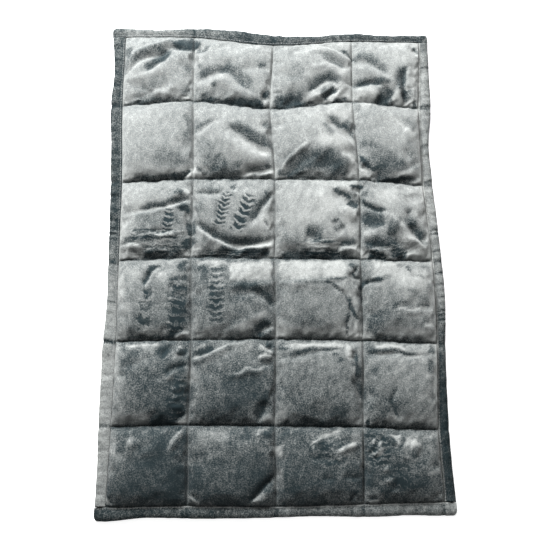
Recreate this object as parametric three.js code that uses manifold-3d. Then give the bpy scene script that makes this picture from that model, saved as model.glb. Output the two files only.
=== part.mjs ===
// Weighted lap pad: a quilted plush pad of filled pockets, lying flat, edged with four strips of plush binding.
// Units are millimetres. +X runs across the pad, +Y towards its head, +Z up from the surface it lies on.
import * as THREE from 'three';
import { mergeVertices } from 'three/addons/utils/BufferGeometryUtils.js';
import Module from 'manifold-3d';

const wasm = await Module();
wasm.setup();

// Plan sizes.
const SQUARE = 101.6; // pitch of the quilting seams, four inches
const SIDE_POCKET = 88; // width of an outer pocket, which loses the rest to the binding
const END_POCKET = 90.8; // length of a pocket at the head or the foot
const HALF_WIDTH = 203.2; // the pad is cut 16 by 24 inches
const HALF_LENGTH = 305;
const COLUMNS = 4;
const ROWS = 6;

// Heights above the surface that the pad lies on.
const COVERS = 2.4; // thickness of the two covers where a seam holds them together
const EDGE_HEIGHT = 3.5; // middle of the covers at the bound edge
const SEAM_HEIGHT = 6.5; // middle of the covers along the quilting seams
const CHANNEL = 0.14; // share of a pocket over which its underside rises to a seam

// Profile of a filled pocket: a flat crown that drops steeply to its seams, fuller on the foot side.
const SWELL_FLATNESS = 2.4;
const SWELL_STEEPNESS = 0.6;
const SLUMP = 0.82;

// Binding: one layer of plush folded round the edge, with the covers in its slot.
const PLUSH = 2;
const BINDING_CROWN = 7.8;
const CLEARANCE = 0.3;
const BINDING_SIDE = 0.18; // share of the binding's width that its folded outer side takes
const FLANGE_EDGE = 0.22; // share of the binding's width that the covers stop short of its outer side
const LIP_INSET = 0.075; // share of its width that the binding's inner lip stands off the pockets
const END_GAP = 0.005; // share of a pocket left between a side strip and the head or foot strip
const CORNER_RADIUS = 4.5;

// Lines that run from head to foot, from left to right. wander is how far a line strays to the right
// of its straight place, at equal steps from the head seam to the foot seam.
const LONG_LINES = [
  { name: 'outer left', at: -HALF_WIDTH, wander: [-4.8, -1, -3.7, -0.8, 1, 2.1, 3.1, 4, 1.3, 1.2, 1, 1.8, 1.7] },
  { name: 'left seam', at: -SQUARE - SIDE_POCKET, wander: [-1.4, -1.7, 2.1, 2.6, 3.5, 2.4, 0.6] },
  { name: 'quilting 1', at: -SQUARE, wander: [-0.3, 0.9, 2.7, 2.8, 5.3, 4, 4.8] },
  { name: 'quilting 2', at: 0, wander: [0.2, -3.6, 2.5, 2.5, 3.7, 2.5, 3.9] },
  { name: 'quilting 3', at: SQUARE, wander: [0, -0.4, 5.2, 4.6, 4.9, 2.9, 1.9] },
  { name: 'right seam', at: SQUARE + SIDE_POCKET, wander: [-0.2, -4.7, -3.6, 3.9, 5, 1.7, 5.1] },
  { name: 'outer right', at: HALF_WIDTH, wander: [-2.7, -2.5, -2.2, -7, -4.4, -1.2, 2.3, 4, 1.8, 0.8, 1.1, 2.3, 4.8] },
];

// Lines that run across, from head to foot. wander is how far a line strays towards the head,
// at equal steps from the left seam to the right seam.
const CROSS_LINES = [
  { name: 'outer head', at: HALF_LENGTH, wander: [7.5, 5.5, 7.5, 4.5, -2.5, -4.1, 0, -2.8, -2.8] },
  { name: 'head seam', at: 2 * SQUARE + END_POCKET, wander: [4.9, 4.3, -6.8, -1.5, -3.1] },
  { name: 'cross 1', at: 2 * SQUARE, wander: [-2.4, 2.6, -7.9, 1.5, -6.3] },
  { name: 'cross 2', at: SQUARE, wander: [-4.7, -1.8, -1.8, -3.1, -9] },
  { name: 'cross 3', at: 0, wander: [-5.4, -1.8, -3.4, -4.4, -5.8] },
  { name: 'cross 4', at: -SQUARE, wander: [-3.5, -2.6, -1.6, -3.5, -6.4] },
  { name: 'cross 5', at: -2 * SQUARE, wander: [-2.4, -1.5, -2.4, -3.7, -6] },
  { name: 'foot seam', at: -2 * SQUARE - END_POCKET, wander: [-3, -1.3, -2.1, 0.5, 2.8] },
  { name: 'outer foot', at: -HALF_LENGTH, wander: [-7.5, -3.5, -4.2, -4.2, -3.1, -1.5, -2.5, -0.9, -0.9] },
];

// Top of each pocket, a row of the table for each row of pockets from head to foot.
const CROWNS = [
  [17, 17, 17, 15.5],
  [21, 20, 19.5, 19],
  [17, 17.5, 19, 16.5],
  [18, 18.5, 21, 19],
  [20, 20, 20.5, 19.5],
  [18.5, 19, 18.5, 17],
];

// Main folds of the upper cover. A fold runs from one point to another and bows to its left. width is
// half its breadth, and rise is its height at the middle: a ridge above zero, a trough below.
const FOLDS = [
  { from: [-181, 262], to: [-101, 279], bow: 9, width: 8, rise: -5.5 },
  { from: [-170, 246], to: [-128, 270], bow: 2, width: 7, rise: -4 },
  { from: [-172, 225], to: [-128, 238], bow: 0, width: 9, rise: -3 },
  { from: [-92, 243], to: [-20, 221], bow: 16, width: 9, rise: -4.5 },
  { from: [42, 226], to: [88, 240], bow: 5, width: 9, rise: -5 },
  { from: [86, 279], to: [150, 242], bow: 4, width: 7, rise: -4 },
  { from: [98, 231], to: [143, 233], bow: -2, width: 7, rise: -4.5 },
  { from: [170, 262], to: [162, 206], bow: 3, width: 9, rise: -4.5 },
  { from: [-60, 180], to: [2, 138], bow: 0, width: 9, rise: -5 },
  { from: [2, 109], to: [50, 154], bow: 3, width: 7, rise: 3.5 },
  { from: [70, 180], to: [102, 148], bow: -3, width: 9, rise: -5.5 },
  { from: [101, 127], to: [124, 112], bow: 0, width: 8, rise: -5 },
  { from: [-176, 61], to: [-99, 78], bow: -2, width: 7, rise: -4.5 },
  { from: [-97, 51], to: [6, 25], bow: -14, width: 8, rise: -5.5 },
  { from: [-38, 42], to: [4, 88], bow: -4, width: 7, rise: -4 },
  { from: [38, 31], to: [58, 29], bow: 0, width: 11, rise: -4 },
  { from: [100, 68], to: [148, 56], bow: 3, width: 8, rise: -5 },
  { from: [4, 14], to: [100, 12], bow: 2, width: 7, rise: -3.5 },
  { from: [-96, -35], to: [66, -33], bow: 2, width: 7, rise: -3.5 },
  { from: [-21, -40], to: [2, -65], bow: 3, width: 7, rise: -4.5 },
  { from: [80, -40], to: [106, -84], bow: -3, width: 8, rise: -6 },
  { from: [88, -78], to: [86, -102], bow: 0, width: 7, rise: -4.5 },
  { from: [-153, -43], to: [-137, -12], bow: 0, width: 7, rise: -4 },
  { from: [-97, -133], to: [-14, -107], bow: 4, width: 8, rise: 3.5 },
  { from: [-20, -206], to: [5, -175], bow: 0, width: 9, rise: -5 },
  { from: [13, -129], to: [80, -114], bow: 3, width: 7, rise: -4 },
  { from: [108, -121], to: [190, -121], bow: 1, width: 7, rise: -4 },
  { from: [88, -140], to: [104, -180], bow: 3, width: 8, rise: -5 },
  { from: [-30, -296], to: [4, -256], bow: 0, width: 9, rise: -5 },
  { from: [-118, -229], to: [-99, -209], bow: 0, width: 8, rise: 3 },
];

// Tucks: small bumps of spare cloth that stand up where two seams cross.
const TUCKS = [
  { at: [-108, 106], spread: 9, rise: 5 },
  { at: [-6, 200], spread: 8, rise: 4 },
  { at: [106, -112], spread: 9, rise: 6 },
  { at: [112, 102], spread: 9, rise: 5 },
  { at: [-104, -201], spread: 8, rise: 4.5 },
  { at: [-103, 1], spread: 7, rise: 3.5 },
];

// Grid lines in a pocket, closer together by its seams. The underside uses every second one.
const STEPS = [0, 0.06, 0.14, 0.25, 0.38, 0.5, 0.62, 0.75, 0.86, 0.94];

const clamp = THREE.MathUtils.clamp;
const lerp = THREE.MathUtils.lerp;
const ease = (t) => THREE.MathUtils.smoothstep(t, 0, 1);

// Plan of the pad. A place on it is a pair of line numbers: a counts the long lines from the outer left,
// b the cross lines from the outer head, and a whole number is on that line.

function strayCurve(wander) {
  return new THREE.SplineCurve(wander.map((stray, station) => new THREE.Vector2(station, stray)));
}

for (const line of [...LONG_LINES, ...CROSS_LINES]) line.curve = strayCurve(line.wander);

function between(lines, place, share) {
  const first = Math.min(Math.floor(place), lines.length - 2);
  const [near, far] = [lines[first], lines[first + 1]].map((line) => line.at + line.curve.getPoint(share).y);
  return lerp(near, far, place - first);
}

function plan(a, b) {
  const downTheRows = clamp((b - 1) / ROWS, 0, 1);
  const acrossTheColumns = clamp((a - 1) / COLUMNS, 0, 1);
  return new THREE.Vector2(between(LONG_LINES, a, downTheRows), between(CROSS_LINES, b, acrossTheColumns));
}

// Heights of the two covers.

function swell(t) {
  return Math.pow(1 - Math.pow(Math.abs(2 * t - 1), SWELL_FLATNESS), SWELL_STEEPNESS);
}

function pocketAt(a, b) {
  const column = clamp(Math.floor(a) - 1, 0, COLUMNS - 1);
  const row = clamp(Math.floor(b) - 1, 0, ROWS - 1);
  return { column, row, across: clamp(a - 1 - column, 0, 1), down: clamp(b - 1 - row, 0, 1) };
}

function coversHeight(a, b) {
  const inset = Math.min(a - 1, COLUMNS + 1 - a, b - 1, ROWS + 1 - b);
  return lerp(EDGE_HEIGHT, SEAM_HEIGHT, ease(clamp(inset, 0, 1)));
}

function foldHeight(point, fold) {
  const from = new THREE.Vector2(...fold.from);
  const run = new THREE.Vector2(...fold.to).sub(from);
  const offset = point.clone().sub(from);
  const share = offset.dot(run) / run.lengthSq();
  if (share <= 0 || share >= 1) return 0;
  const bow = 4 * share * (1 - share);
  const aside = run.cross(offset) / run.length() - fold.bow * bow;
  return fold.rise * Math.sqrt(bow) * Math.exp(-((aside / fold.width) ** 2));
}

function tuckHeight(point, tuck) {
  const distance = point.distanceTo(new THREE.Vector2(...tuck.at));
  return tuck.rise * Math.exp(-((distance / tuck.spread) ** 2));
}

function upperHeight(a, b) {
  const { column, row, across, down } = pocketAt(a, b);
  const seam = coversHeight(a, b) + COVERS / 2;
  const fill = swell(across) * swell(Math.pow(1 - down, SLUMP));
  const point = plan(a, b);
  const folds = FOLDS.reduce((sum, fold) => sum + foldHeight(point, fold), 0);
  const tucks = TUCKS.reduce((sum, tuck) => sum + tuckHeight(point, tuck), 0);
  return seam + (CROWNS[row][column] - seam + folds) * fill + tucks * (1 - fill);
}

function underHeight(a, b) {
  const { across, down } = pocketAt(a, b);
  const toSeam = Math.min(across, 1 - across, down, 1 - down);
  return (coversHeight(a, b) - COVERS / 2) * Math.max(0, 1 - toSeam / CHANNEL);
}

// The quilted pad: an upper cover on every grid line, an under cover on every second one, and a rim.

function gridLines(pockets) {
  const halfway = (1 - FLANGE_EDGE) / 2;
  const lines = [FLANGE_EDGE, FLANGE_EDGE + halfway];
  for (let pocket = 1; pocket <= pockets; pocket++) lines.push(...STEPS.map((step) => pocket + step));
  lines.push(pockets + 1, pockets + 1 + halfway, pockets + 2 - FLANGE_EDGE);
  return lines;
}

function cover(longPlaces, crossPlaces, height, firstIndex) {
  const points = [];
  for (const b of crossPlaces) {
    for (const a of longPlaces) {
      const { x, y } = plan(a, b);
      points.push(x, y, height(a, b));
    }
  }
  const index = (i, j) => firstIndex + j * longPlaces.length + i;
  const faces = [];
  for (let j = 0; j + 1 < crossPlaces.length; j++) {
    for (let i = 0; i + 1 < longPlaces.length; i++) {
      const [headLeft, headRight] = [index(i, j), index(i + 1, j)];
      const [footLeft, footRight] = [index(i, j + 1), index(i + 1, j + 1)];
      faces.push([footLeft, footRight, headRight], [footLeft, headRight, headLeft]);
    }
  }
  return { points, faces, index };
}

// Grid places round the rim, anticlockwise from above, starting at the head's left corner.
function rimPlaces(lastI, lastJ) {
  const places = [];
  for (let j = 0; j < lastJ; j++) places.push([0, j]);
  for (let i = 0; i < lastI; i++) places.push([i, lastJ]);
  for (let j = lastJ; j > 0; j--) places.push([lastI, j]);
  for (let i = lastI; i > 0; i--) places.push([i, 0]);
  return places;
}

function quiltedPadGeometry() {
  const [longPlaces, crossPlaces] = [gridLines(COLUMNS), gridLines(ROWS)];
  const everySecond = (places) => places.filter((_, i) => i % 2 === 0);
  const upper = cover(longPlaces, crossPlaces, upperHeight, 0);
  const under = cover(everySecond(longPlaces), everySecond(crossPlaces), underHeight, upper.points.length / 3);
  const rim = rimPlaces(longPlaces.length - 1, crossPlaces.length - 1);
  const faces = [...upper.faces, ...under.faces.map((face) => face.slice().reverse())];
  for (let k = 0; k < rim.length; k += 2) {
    const [start, middle, end] = [k, k + 1, (k + 2) % rim.length].map((n) => rim[n]);
    const [low, nextLow] = [start, end].map(([i, j]) => under.index(i / 2, j / 2));
    const [high, midHigh, nextHigh] = [start, middle, end].map(([i, j]) => upper.index(i, j));
    faces.push([low, nextLow, midHigh], [nextLow, nextHigh, midHigh], [low, midHigh, high]);
  }
  return indexed([...upper.points, ...under.points], faces.flat());
}

// Binding strips: an outer section swept along the edge, with the slot for the covers cut out of it.

// Outer section from the inner lip's foot, anticlockwise as seen along the sweep: share across, height.
const BINDING_SECTION = [
  [0, 0],
  [0.88, 0],
  [0.97, 1.3],
  [1, 3.6],
  [0.97, 5.9],
  [0.86, 7.3],
  [0.48, BINDING_CROWN],
  [0.14, 7.3],
  [0, 6.2],
];

const SLOT_SECTION = [
  [-0.3, EDGE_HEIGHT - COVERS / 2 - CLEARANCE],
  [1 - BINDING_SIDE, EDGE_HEIGHT - COVERS / 2 - CLEARANCE],
  [1 - BINDING_SIDE, EDGE_HEIGHT + COVERS / 2 + CLEARANCE],
  [-0.3, EDGE_HEIGHT + COVERS / 2 + CLEARANCE],
];

function indexed(points, index) {
  const geometry = new THREE.BufferGeometry();
  geometry.setAttribute('position', new THREE.Float32BufferAttribute(points, 3));
  geometry.setIndex(index);
  geometry.computeVertexNormals();
  return geometry;
}

// Sweeps a section along stations that hold the plan points of its shares 0 and 1.
function sweepGeometry(stations, section) {
  const points = [];
  for (const { inner, outer } of stations) {
    for (const [share, height] of section) {
      points.push(lerp(inner.x, outer.x, share), lerp(inner.y, outer.y, share), height);
    }
  }
  const ring = section.length;
  const last = (stations.length - 1) * ring;
  const index = [];
  for (let start = 0; start < last; start += ring) {
    for (let p = 0; p < ring; p++) {
      const q = (p + 1) % ring;
      index.push(start + p, start + ring + q, start + q, start + p, start + ring + p, start + ring + q);
    }
  }
  const contour = section.map(([share, height]) => new THREE.Vector2(share, height));
  for (const [p, q, r] of THREE.ShapeUtils.triangulateShape(contour, [])) {
    index.push(p, q, r, last + p, last + r, last + q);
  }
  return indexed(points, index);
}

function solidOf(geometry) {
  const bare = geometry.clone();
  bare.deleteAttribute('normal');
  const merged = mergeVertices(bare);
  const vertProperties = new Float32Array(merged.attributes.position.array);
  const triVerts = new Uint32Array(merged.index.array);
  return new wasm.Manifold(new wasm.Mesh({ numProp: 3, vertProperties, triVerts }));
}

function geometryOf(solid) {
  const { vertProperties, triVerts } = solid.getMesh();
  return indexed(Array.from(vertProperties), Array.from(triVerts));
}

function stripGeometry(stations, slotStations) {
  const outside = solidOf(sweepGeometry(stations, BINDING_SECTION));
  return geometryOf(outside.subtract(solidOf(sweepGeometry(slotStations, SLOT_SECTION))));
}

// Line numbers along a row of pockets: their ends and, between those, every second grid line.
function alongPockets(pockets) {
  const places = [];
  for (let pocket = 1; pocket <= pockets; pocket++) {
    places.push(...STEPS.filter((_, i) => i % 2 === 0).map((step) => pocket + step));
  }
  return [...places, pockets + 1];
}

// How far a rounded corner draws the outer side in, at a distance from the strip's end.
function cornerInset(distance) {
  if (distance >= CORNER_RADIUS) return 0;
  return CORNER_RADIUS - Math.sqrt(CORNER_RADIUS ** 2 - (CORNER_RADIUS - distance) ** 2);
}

function sideStripGeometry(outerLine, innerLine) {
  const stationAt = (b) => ({
    inner: plan(lerp(innerLine, outerLine, LIP_INSET), b),
    outer: plan(outerLine, b),
  });
  const places = alongPockets(ROWS).slice(1, -1);
  const ends = [1 + END_GAP, ROWS + 1 - END_GAP];
  const slotEnds = [1 - END_GAP, ROWS + 1 + END_GAP];
  const stations = [ends[0], ...places, ends[1]].map(stationAt);
  const slotStations = [slotEnds[0], ...places, slotEnds[1]].map(stationAt);
  if (outerLine < innerLine) return stripGeometry(stations, slotStations);
  return stripGeometry(stations.reverse(), slotStations.reverse());
}

function endStripGeometry(outerLine, innerLine) {
  const lastLine = COLUMNS + 2;
  const innerEdge = lerp(innerLine, outerLine, LIP_INSET);
  const stationAt = (a) => {
    const [inner, outer] = [plan(a, innerEdge), plan(a, outerLine)];
    const fromEnd = Math.min(outer.x - plan(0, outerLine).x, plan(lastLine, outerLine).x - outer.x);
    outer.lerp(inner, cornerInset(fromEnd) / outer.distanceTo(inner));
    return { inner, outer };
  };
  const corner = [0, 0.03, 0.1, 0.2, 0.34, 0.6];
  const mirrored = corner.map((a) => lastLine - a).reverse();
  const stations = [...corner, ...alongPockets(COLUMNS), ...mirrored].map(stationAt);
  const slotPlaces = [BINDING_SIDE, ...alongPockets(COLUMNS), lastLine - BINDING_SIDE];
  const slotStations = slotPlaces.map((a) => ({ inner: plan(a, innerEdge), outer: plan(a, outerLine) }));
  if (outerLine > innerLine) return stripGeometry(stations, slotStations);
  return stripGeometry(stations.reverse(), slotStations.reverse());
}

// The part

const padPlush = new THREE.MeshStandardMaterial({ color: 0x8c9394, roughness: 0.95, metalness: 0 });
const bindingPlush = new THREE.MeshStandardMaterial({ color: 0x6f7678, roughness: 0.95, metalness: 0 });

function piece(name, geometry, material) {
  const mesh = new THREE.Mesh(geometry, material);
  mesh.name = name;
  return mesh;
}

const lapPad = new THREE.Group();
lapPad.add(
  piece('quilted_pad', quiltedPadGeometry(), padPlush),
  piece('binding_left', sideStripGeometry(0, 1), bindingPlush),
  piece('binding_right', sideStripGeometry(COLUMNS + 2, COLUMNS + 1), bindingPlush),
  piece('binding_head', endStripGeometry(0, 1), bindingPlush),
  piece('binding_foot', endStripGeometry(ROWS + 2, ROWS + 1), bindingPlush),
);

export default lapPad;
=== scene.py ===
# %% [markdown]
# # A weighted lap pad in grey plush
# The real pad is two plush covers sewn together in squares. Each square holds beads and soft filling, and
# a plush strip is folded round the edge. This lesson builds its looks around a fixed model that already has
# the right size: first the stage, then the quilted pad, its binding, its stitches and the finishes.

# %% Load the fixed frame
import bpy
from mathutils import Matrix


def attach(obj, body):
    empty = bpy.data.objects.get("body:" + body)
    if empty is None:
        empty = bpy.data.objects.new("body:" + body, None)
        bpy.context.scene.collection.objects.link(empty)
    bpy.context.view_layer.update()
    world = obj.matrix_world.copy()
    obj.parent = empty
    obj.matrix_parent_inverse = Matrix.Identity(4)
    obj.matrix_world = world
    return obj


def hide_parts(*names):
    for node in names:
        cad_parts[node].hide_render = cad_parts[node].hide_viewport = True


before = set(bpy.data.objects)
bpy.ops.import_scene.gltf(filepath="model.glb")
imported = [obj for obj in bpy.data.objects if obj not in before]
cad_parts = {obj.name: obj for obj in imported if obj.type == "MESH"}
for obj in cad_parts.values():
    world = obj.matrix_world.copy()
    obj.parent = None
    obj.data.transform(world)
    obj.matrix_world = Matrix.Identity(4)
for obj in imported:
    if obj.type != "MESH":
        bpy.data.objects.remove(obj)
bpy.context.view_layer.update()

import math

import bpy
import numpy as np
from mathutils import Vector, noise

MM = 0.001
print("frame nodes:", sorted(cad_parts))

# %% [markdown]
# ## Stage
# The photo was taken from a step away, looking steeply down over the foot of the pad. A camera is placed by
# the point it is aimed at, its distance and its height angle, because those can be read off the seams'
# perspective. A floor needs only one large face, with a faint glow as on a light table, so that the pad's
# shadow nearly vanishes. The light has to do more: a plush looks flat in even light, so a wide lamp stands
# low beyond the head, a little to the left, and the sky only fills its shadows.

# %% Camera
AIM = Vector((2.7, -21.5, 0)) * MM
CAMERA_DISTANCE = 1200 * MM
CAMERA_HEIGHT_ANGLE = math.radians(73.57)
LENS_MM = 64.7
SENSOR_MM = 36


def add_camera():
    data = bpy.data.cameras.new("photo_camera")
    data.lens = LENS_MM
    data.sensor_width = SENSOR_MM
    camera = bpy.data.objects.new("photo_camera", data)
    away = Vector((0, -math.cos(CAMERA_HEIGHT_ANGLE), math.sin(CAMERA_HEIGHT_ANGLE)))
    camera.location = AIM + away * CAMERA_DISTANCE
    camera.rotation_euler = (math.pi / 2 - CAMERA_HEIGHT_ANGLE, 0, 0)
    bpy.context.scene.collection.objects.link(camera)
    bpy.context.scene.camera = camera


add_camera()
print("camera at", [round(v, 3) for v in bpy.context.scene.camera.location])

# %% Lamp and sky
LAMP_PLACE = (-0.4, 1.05, 0.85)
LAMP_SIZE = 0.9
LAMP_WATTS = 75
SKY_STRENGTH = 0.25


def add_lamp():
    data = bpy.data.lights.new("head_lamp", "AREA")
    data.shape = "DISK"
    data.size = LAMP_SIZE
    data.energy = LAMP_WATTS
    lamp = bpy.data.objects.new("head_lamp", data)
    lamp.location = LAMP_PLACE
    lamp.rotation_euler = (-Vector(LAMP_PLACE)).to_track_quat("-Z", "Y").to_euler()
    bpy.context.scene.collection.objects.link(lamp)


def set_inputs(node, values):
    for name, value in values.items():
        node.inputs[name].default_value = value


def set_sky():
    world = bpy.data.worlds.new("soft_sky")
    world.use_nodes = True
    set_inputs(world.node_tree.nodes["Background"], {"Color": (1, 1, 1, 1), "Strength": SKY_STRENGTH})
    bpy.context.scene.world = world


add_lamp()
set_sky()
bpy.context.scene.view_settings.view_transform = "Standard"
print("lamp of", LAMP_WATTS, "watts, sky of strength", SKY_STRENGTH)

# %% Floor
FLOOR_HALF_SIDE = 4
FLOOR_COLOUR = (0.92, 0.92, 0.92)
FLOOR_ROUGHNESS = 0.9
FLOOR_GLOW = 0.8


def plain_material(name, colour, roughness):
    material = bpy.data.materials.new(name)
    material.use_nodes = True
    shader = material.node_tree.nodes["Principled BSDF"]
    set_inputs(shader, {"Base Color": (*colour, 1), "Roughness": roughness})
    return material


def add_floor():
    mesh = bpy.data.meshes.new("floor")
    corners = [(-1, -1), (1, -1), (1, 1), (-1, 1)]
    mesh.from_pydata([(x * FLOOR_HALF_SIDE, y * FLOOR_HALF_SIDE, 0) for x, y in corners], [], [(0, 1, 2, 3)])
    pale = plain_material("pale_floor", FLOOR_COLOUR, FLOOR_ROUGHNESS)
    shader = pale.node_tree.nodes["Principled BSDF"]
    set_inputs(shader, {"Emission Color": (1, 1, 1, 1), "Emission Strength": FLOOR_GLOW})
    mesh.materials.append(pale)
    floor = bpy.data.objects.new("floor", mesh)
    bpy.context.scene.collection.objects.link(floor)


add_floor()
print("floor:", 2 * FLOOR_HALF_SIDE, "m wide")

# %% [markdown]
# ## Plan of the quilting
# Sewn lines are never straight: each one strays a few millimetres. A place on the pad is therefore given as a
# pair of line numbers. The first counts the lines from head to foot, starting at the outer left edge; the
# second counts the cross lines, starting at the outer head edge. So (2.5, 3.1) is in the middle of the second
# column of pockets, just below the third cross line, however crooked those lines are.

# %% Lines and places
SQUARE = 101.6
SIDE_POCKET = 88
END_POCKET = 90.8
HALF_WIDTH = 203.2
HALF_LENGTH = 305
COLUMNS = 4
ROWS = 6

# Each line: its straight place in millimetres, then how far it strays at equal steps.
LONG_LINES = [
    (-HALF_WIDTH, [-4.8, -1, -3.7, -0.8, 1, 2.1, 3.1, 4, 1.3, 1.2, 1, 1.8, 1.7]),
    (-SQUARE - SIDE_POCKET, [-1.4, -1.7, 2.1, 2.6, 3.5, 2.4, 0.6]),
    (-SQUARE, [-0.3, 0.9, 2.7, 2.8, 5.3, 4, 4.8]),
    (0, [0.2, -3.6, 2.5, 2.5, 3.7, 2.5, 3.9]),
    (SQUARE, [0, -0.4, 5.2, 4.6, 4.9, 2.9, 1.9]),
    (SQUARE + SIDE_POCKET, [-0.2, -4.7, -3.6, 3.9, 5, 1.7, 5.1]),
    (HALF_WIDTH, [-2.7, -2.5, -2.2, -7, -4.4, -1.2, 2.3, 4, 1.8, 0.8, 1.1, 2.3, 4.8]),
]
CROSS_LINES = [
    (HALF_LENGTH, [7.5, 5.5, 7.5, 4.5, -2.5, -4.1, 0, -2.8, -2.8]),
    (2 * SQUARE + END_POCKET, [4.9, 4.3, -6.8, -1.5, -3.1]),
    (2 * SQUARE, [-2.4, 2.6, -7.9, 1.5, -6.3]),
    (SQUARE, [-4.7, -1.8, -1.8, -3.1, -9]),
    (0, [-5.4, -1.8, -3.4, -4.4, -5.8]),
    (-SQUARE, [-3.5, -2.6, -1.6, -3.5, -6.4]),
    (-2 * SQUARE, [-2.4, -1.5, -2.4, -3.7, -6]),
    (-2 * SQUARE - END_POCKET, [-3, -1.3, -2.1, 0.5, 2.8]),
    (-HALF_LENGTH, [-7.5, -3.5, -4.2, -4.2, -3.1, -1.5, -2.5, -0.9, -0.9]),
]


def smooth_through(values, share):
    """Catmull-Rom curve through equally spaced values, at shares from 0 to 1 of its length."""
    values = np.asarray(values, float)
    last = len(values) - 1
    place = np.clip(share, 0, 1) * last
    first = np.minimum(place.astype(int), last - 1)
    t = place - first
    before, here = values[np.maximum(first - 1, 0)], values[first]
    after, later = values[first + 1], values[np.minimum(first + 2, last)]
    leave, arrive = (after - before) / 2, (later - here) / 2
    cubic = 2 * here - 2 * after + leave + arrive
    square = -3 * here + 3 * after - 2 * leave - arrive
    return ((cubic * t + square) * t + leave) * t + here


def between_lines(lines, place, share):
    straight = np.array([at for at, _ in lines])
    aside = np.stack([smooth_through(stray, share) for _, stray in lines])
    first = np.clip(np.floor(place).astype(int), 0, len(lines) - 2)
    points = np.arange(len(first))
    near = straight[first] + aside[first, points]
    far = straight[first + 1] + aside[first + 1, points]
    return near + (far - near) * (place - first)


def plan(a, b):
    """Plan point in millimetres of each pair of line numbers."""
    a, b = (np.asarray(v, float).ravel() for v in np.broadcast_arrays(a, b))
    return between_lines(LONG_LINES, a, (b - 1) / ROWS), between_lines(CROSS_LINES, b, (a - 1) / COLUMNS)


corner_x, corner_y = plan([1, 5, 1, 5], [1, 1, 7, 7])
print("corners of the quilting, mm:", np.round(np.stack([corner_x, corner_y], 1)).tolist())

# %% [markdown]
# ## Filled pockets
# A filled pocket rises steeply from its seams to a rounded crown. A subdivided cube would give one pocket,
# but twenty-four that share crooked seams are easier as one grid of points: the grid lines crowd together by
# the seams, where the cloth turns sharply, and a formula gives each point its height.

# %% Grid of the covers
# Steps of the grid in one pocket, and how strongly they crowd together by the seams.
STEPS = 54
CROWDING = 0.3
# Millimetres: both covers together, and the height of their middle at the edge and at the inner seams.
COVERS = 2.4
EDGE_HEIGHT = 3.5
SEAM_HEIGHT = 6.5
# Line number where the flange inside the binding starts, and its steps.
FLANGE_EDGE = 0.22
FLANGE_STEPS = 4
# How round a crown is, and how steeply it rises from the cross seams and from the long ones.
ROUNDNESS = 2.7
STEEPNESS_DOWN = 0.5
STEEPNESS_ACROSS = 0.27

# Top of each pocket in millimetres, one row for each row of pockets from the head.
CROWNS = np.array([
    [17, 17, 17, 15.5],
    [21, 20, 19.5, 19],
    [17, 17.5, 19, 16.5],
    [18, 18.5, 21, 19],
    [20, 20, 20.5, 19.5],
    [18.5, 19, 18.5, 17],
])


def grid_lines(pockets):
    even = np.arange(STEPS) / STEPS
    crowded = even - CROWDING * np.sin(2 * np.pi * even) / (2 * np.pi)
    inside = np.concatenate([pocket + crowded for pocket in range(1, pockets + 1)])
    flange = np.linspace(FLANGE_EDGE, 1, FLANGE_STEPS, endpoint=False)
    return np.concatenate([flange, inside, [pockets + 1], pockets + 2 - flange[::-1]])


def swell(t, steepness):
    return (1 - np.abs(2 * t - 1) ** ROUNDNESS) ** steepness


def ease(t):
    t = np.clip(t, 0, 1)
    return t * t * (3 - 2 * t)


def pocket_of(place, pockets):
    """Index of the pocket, and the share of the way through it."""
    index = np.clip(np.floor(place).astype(int) - 1, 0, pockets - 1)
    return index, np.clip(place - 1 - index, 0, 1)


def from_border(a, b):
    """Distance from the bound edge, in pockets."""
    return np.clip(np.minimum.reduce([a - 1, COLUMNS + 1 - a, b - 1, ROWS + 1 - b]), 0, 1)


def covers_height(a, b):
    return EDGE_HEIGHT + (SEAM_HEIGHT - EDGE_HEIGHT) * ease(from_border(a, b))


A, B = (v.ravel() for v in np.meshgrid(grid_lines(COLUMNS), grid_lines(ROWS)))
X, Y = plan(A, B)
PLACES = np.stack([X, Y], 1)
column, across = pocket_of(A, COLUMNS)
row, down = pocket_of(B, ROWS)
fill = swell(across, STEEPNESS_ACROSS) * swell(down, STEEPNESS_DOWN)
print("upper cover:", len(A), "points")

# %% [markdown]
# ## Folds
# The pad has been folded and handled, so its covers carry creases, tucks and dents. They could be sculpted or
# left to a simulation, but then they would fall anywhere. Here each one is a stroke with its own path, width
# and rise, both in millimetres: above zero it is a ridge, below zero a trough.

# %% Strokes on the cover
# How far a stroke is felt, in widths, and what is left of its width and its strength at its ends.
STROKE_REACH = 2.6
END_WIDTH = 0.45
END_STRENGTH = 0.15


def stroke_line(path, steps=10):
    """Plan points along a smooth curve through the path's places."""
    a, b = np.array(path, float).T
    share = np.linspace(0, 1, steps * (len(path) - 1) + 1)
    if len(path) == 2:
        a, b = (np.array([v[0], v.mean(), v[1]]) for v in (a, b))
    return np.stack(plan(smooth_through(a, share), smooth_through(b, share)), 1)


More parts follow.
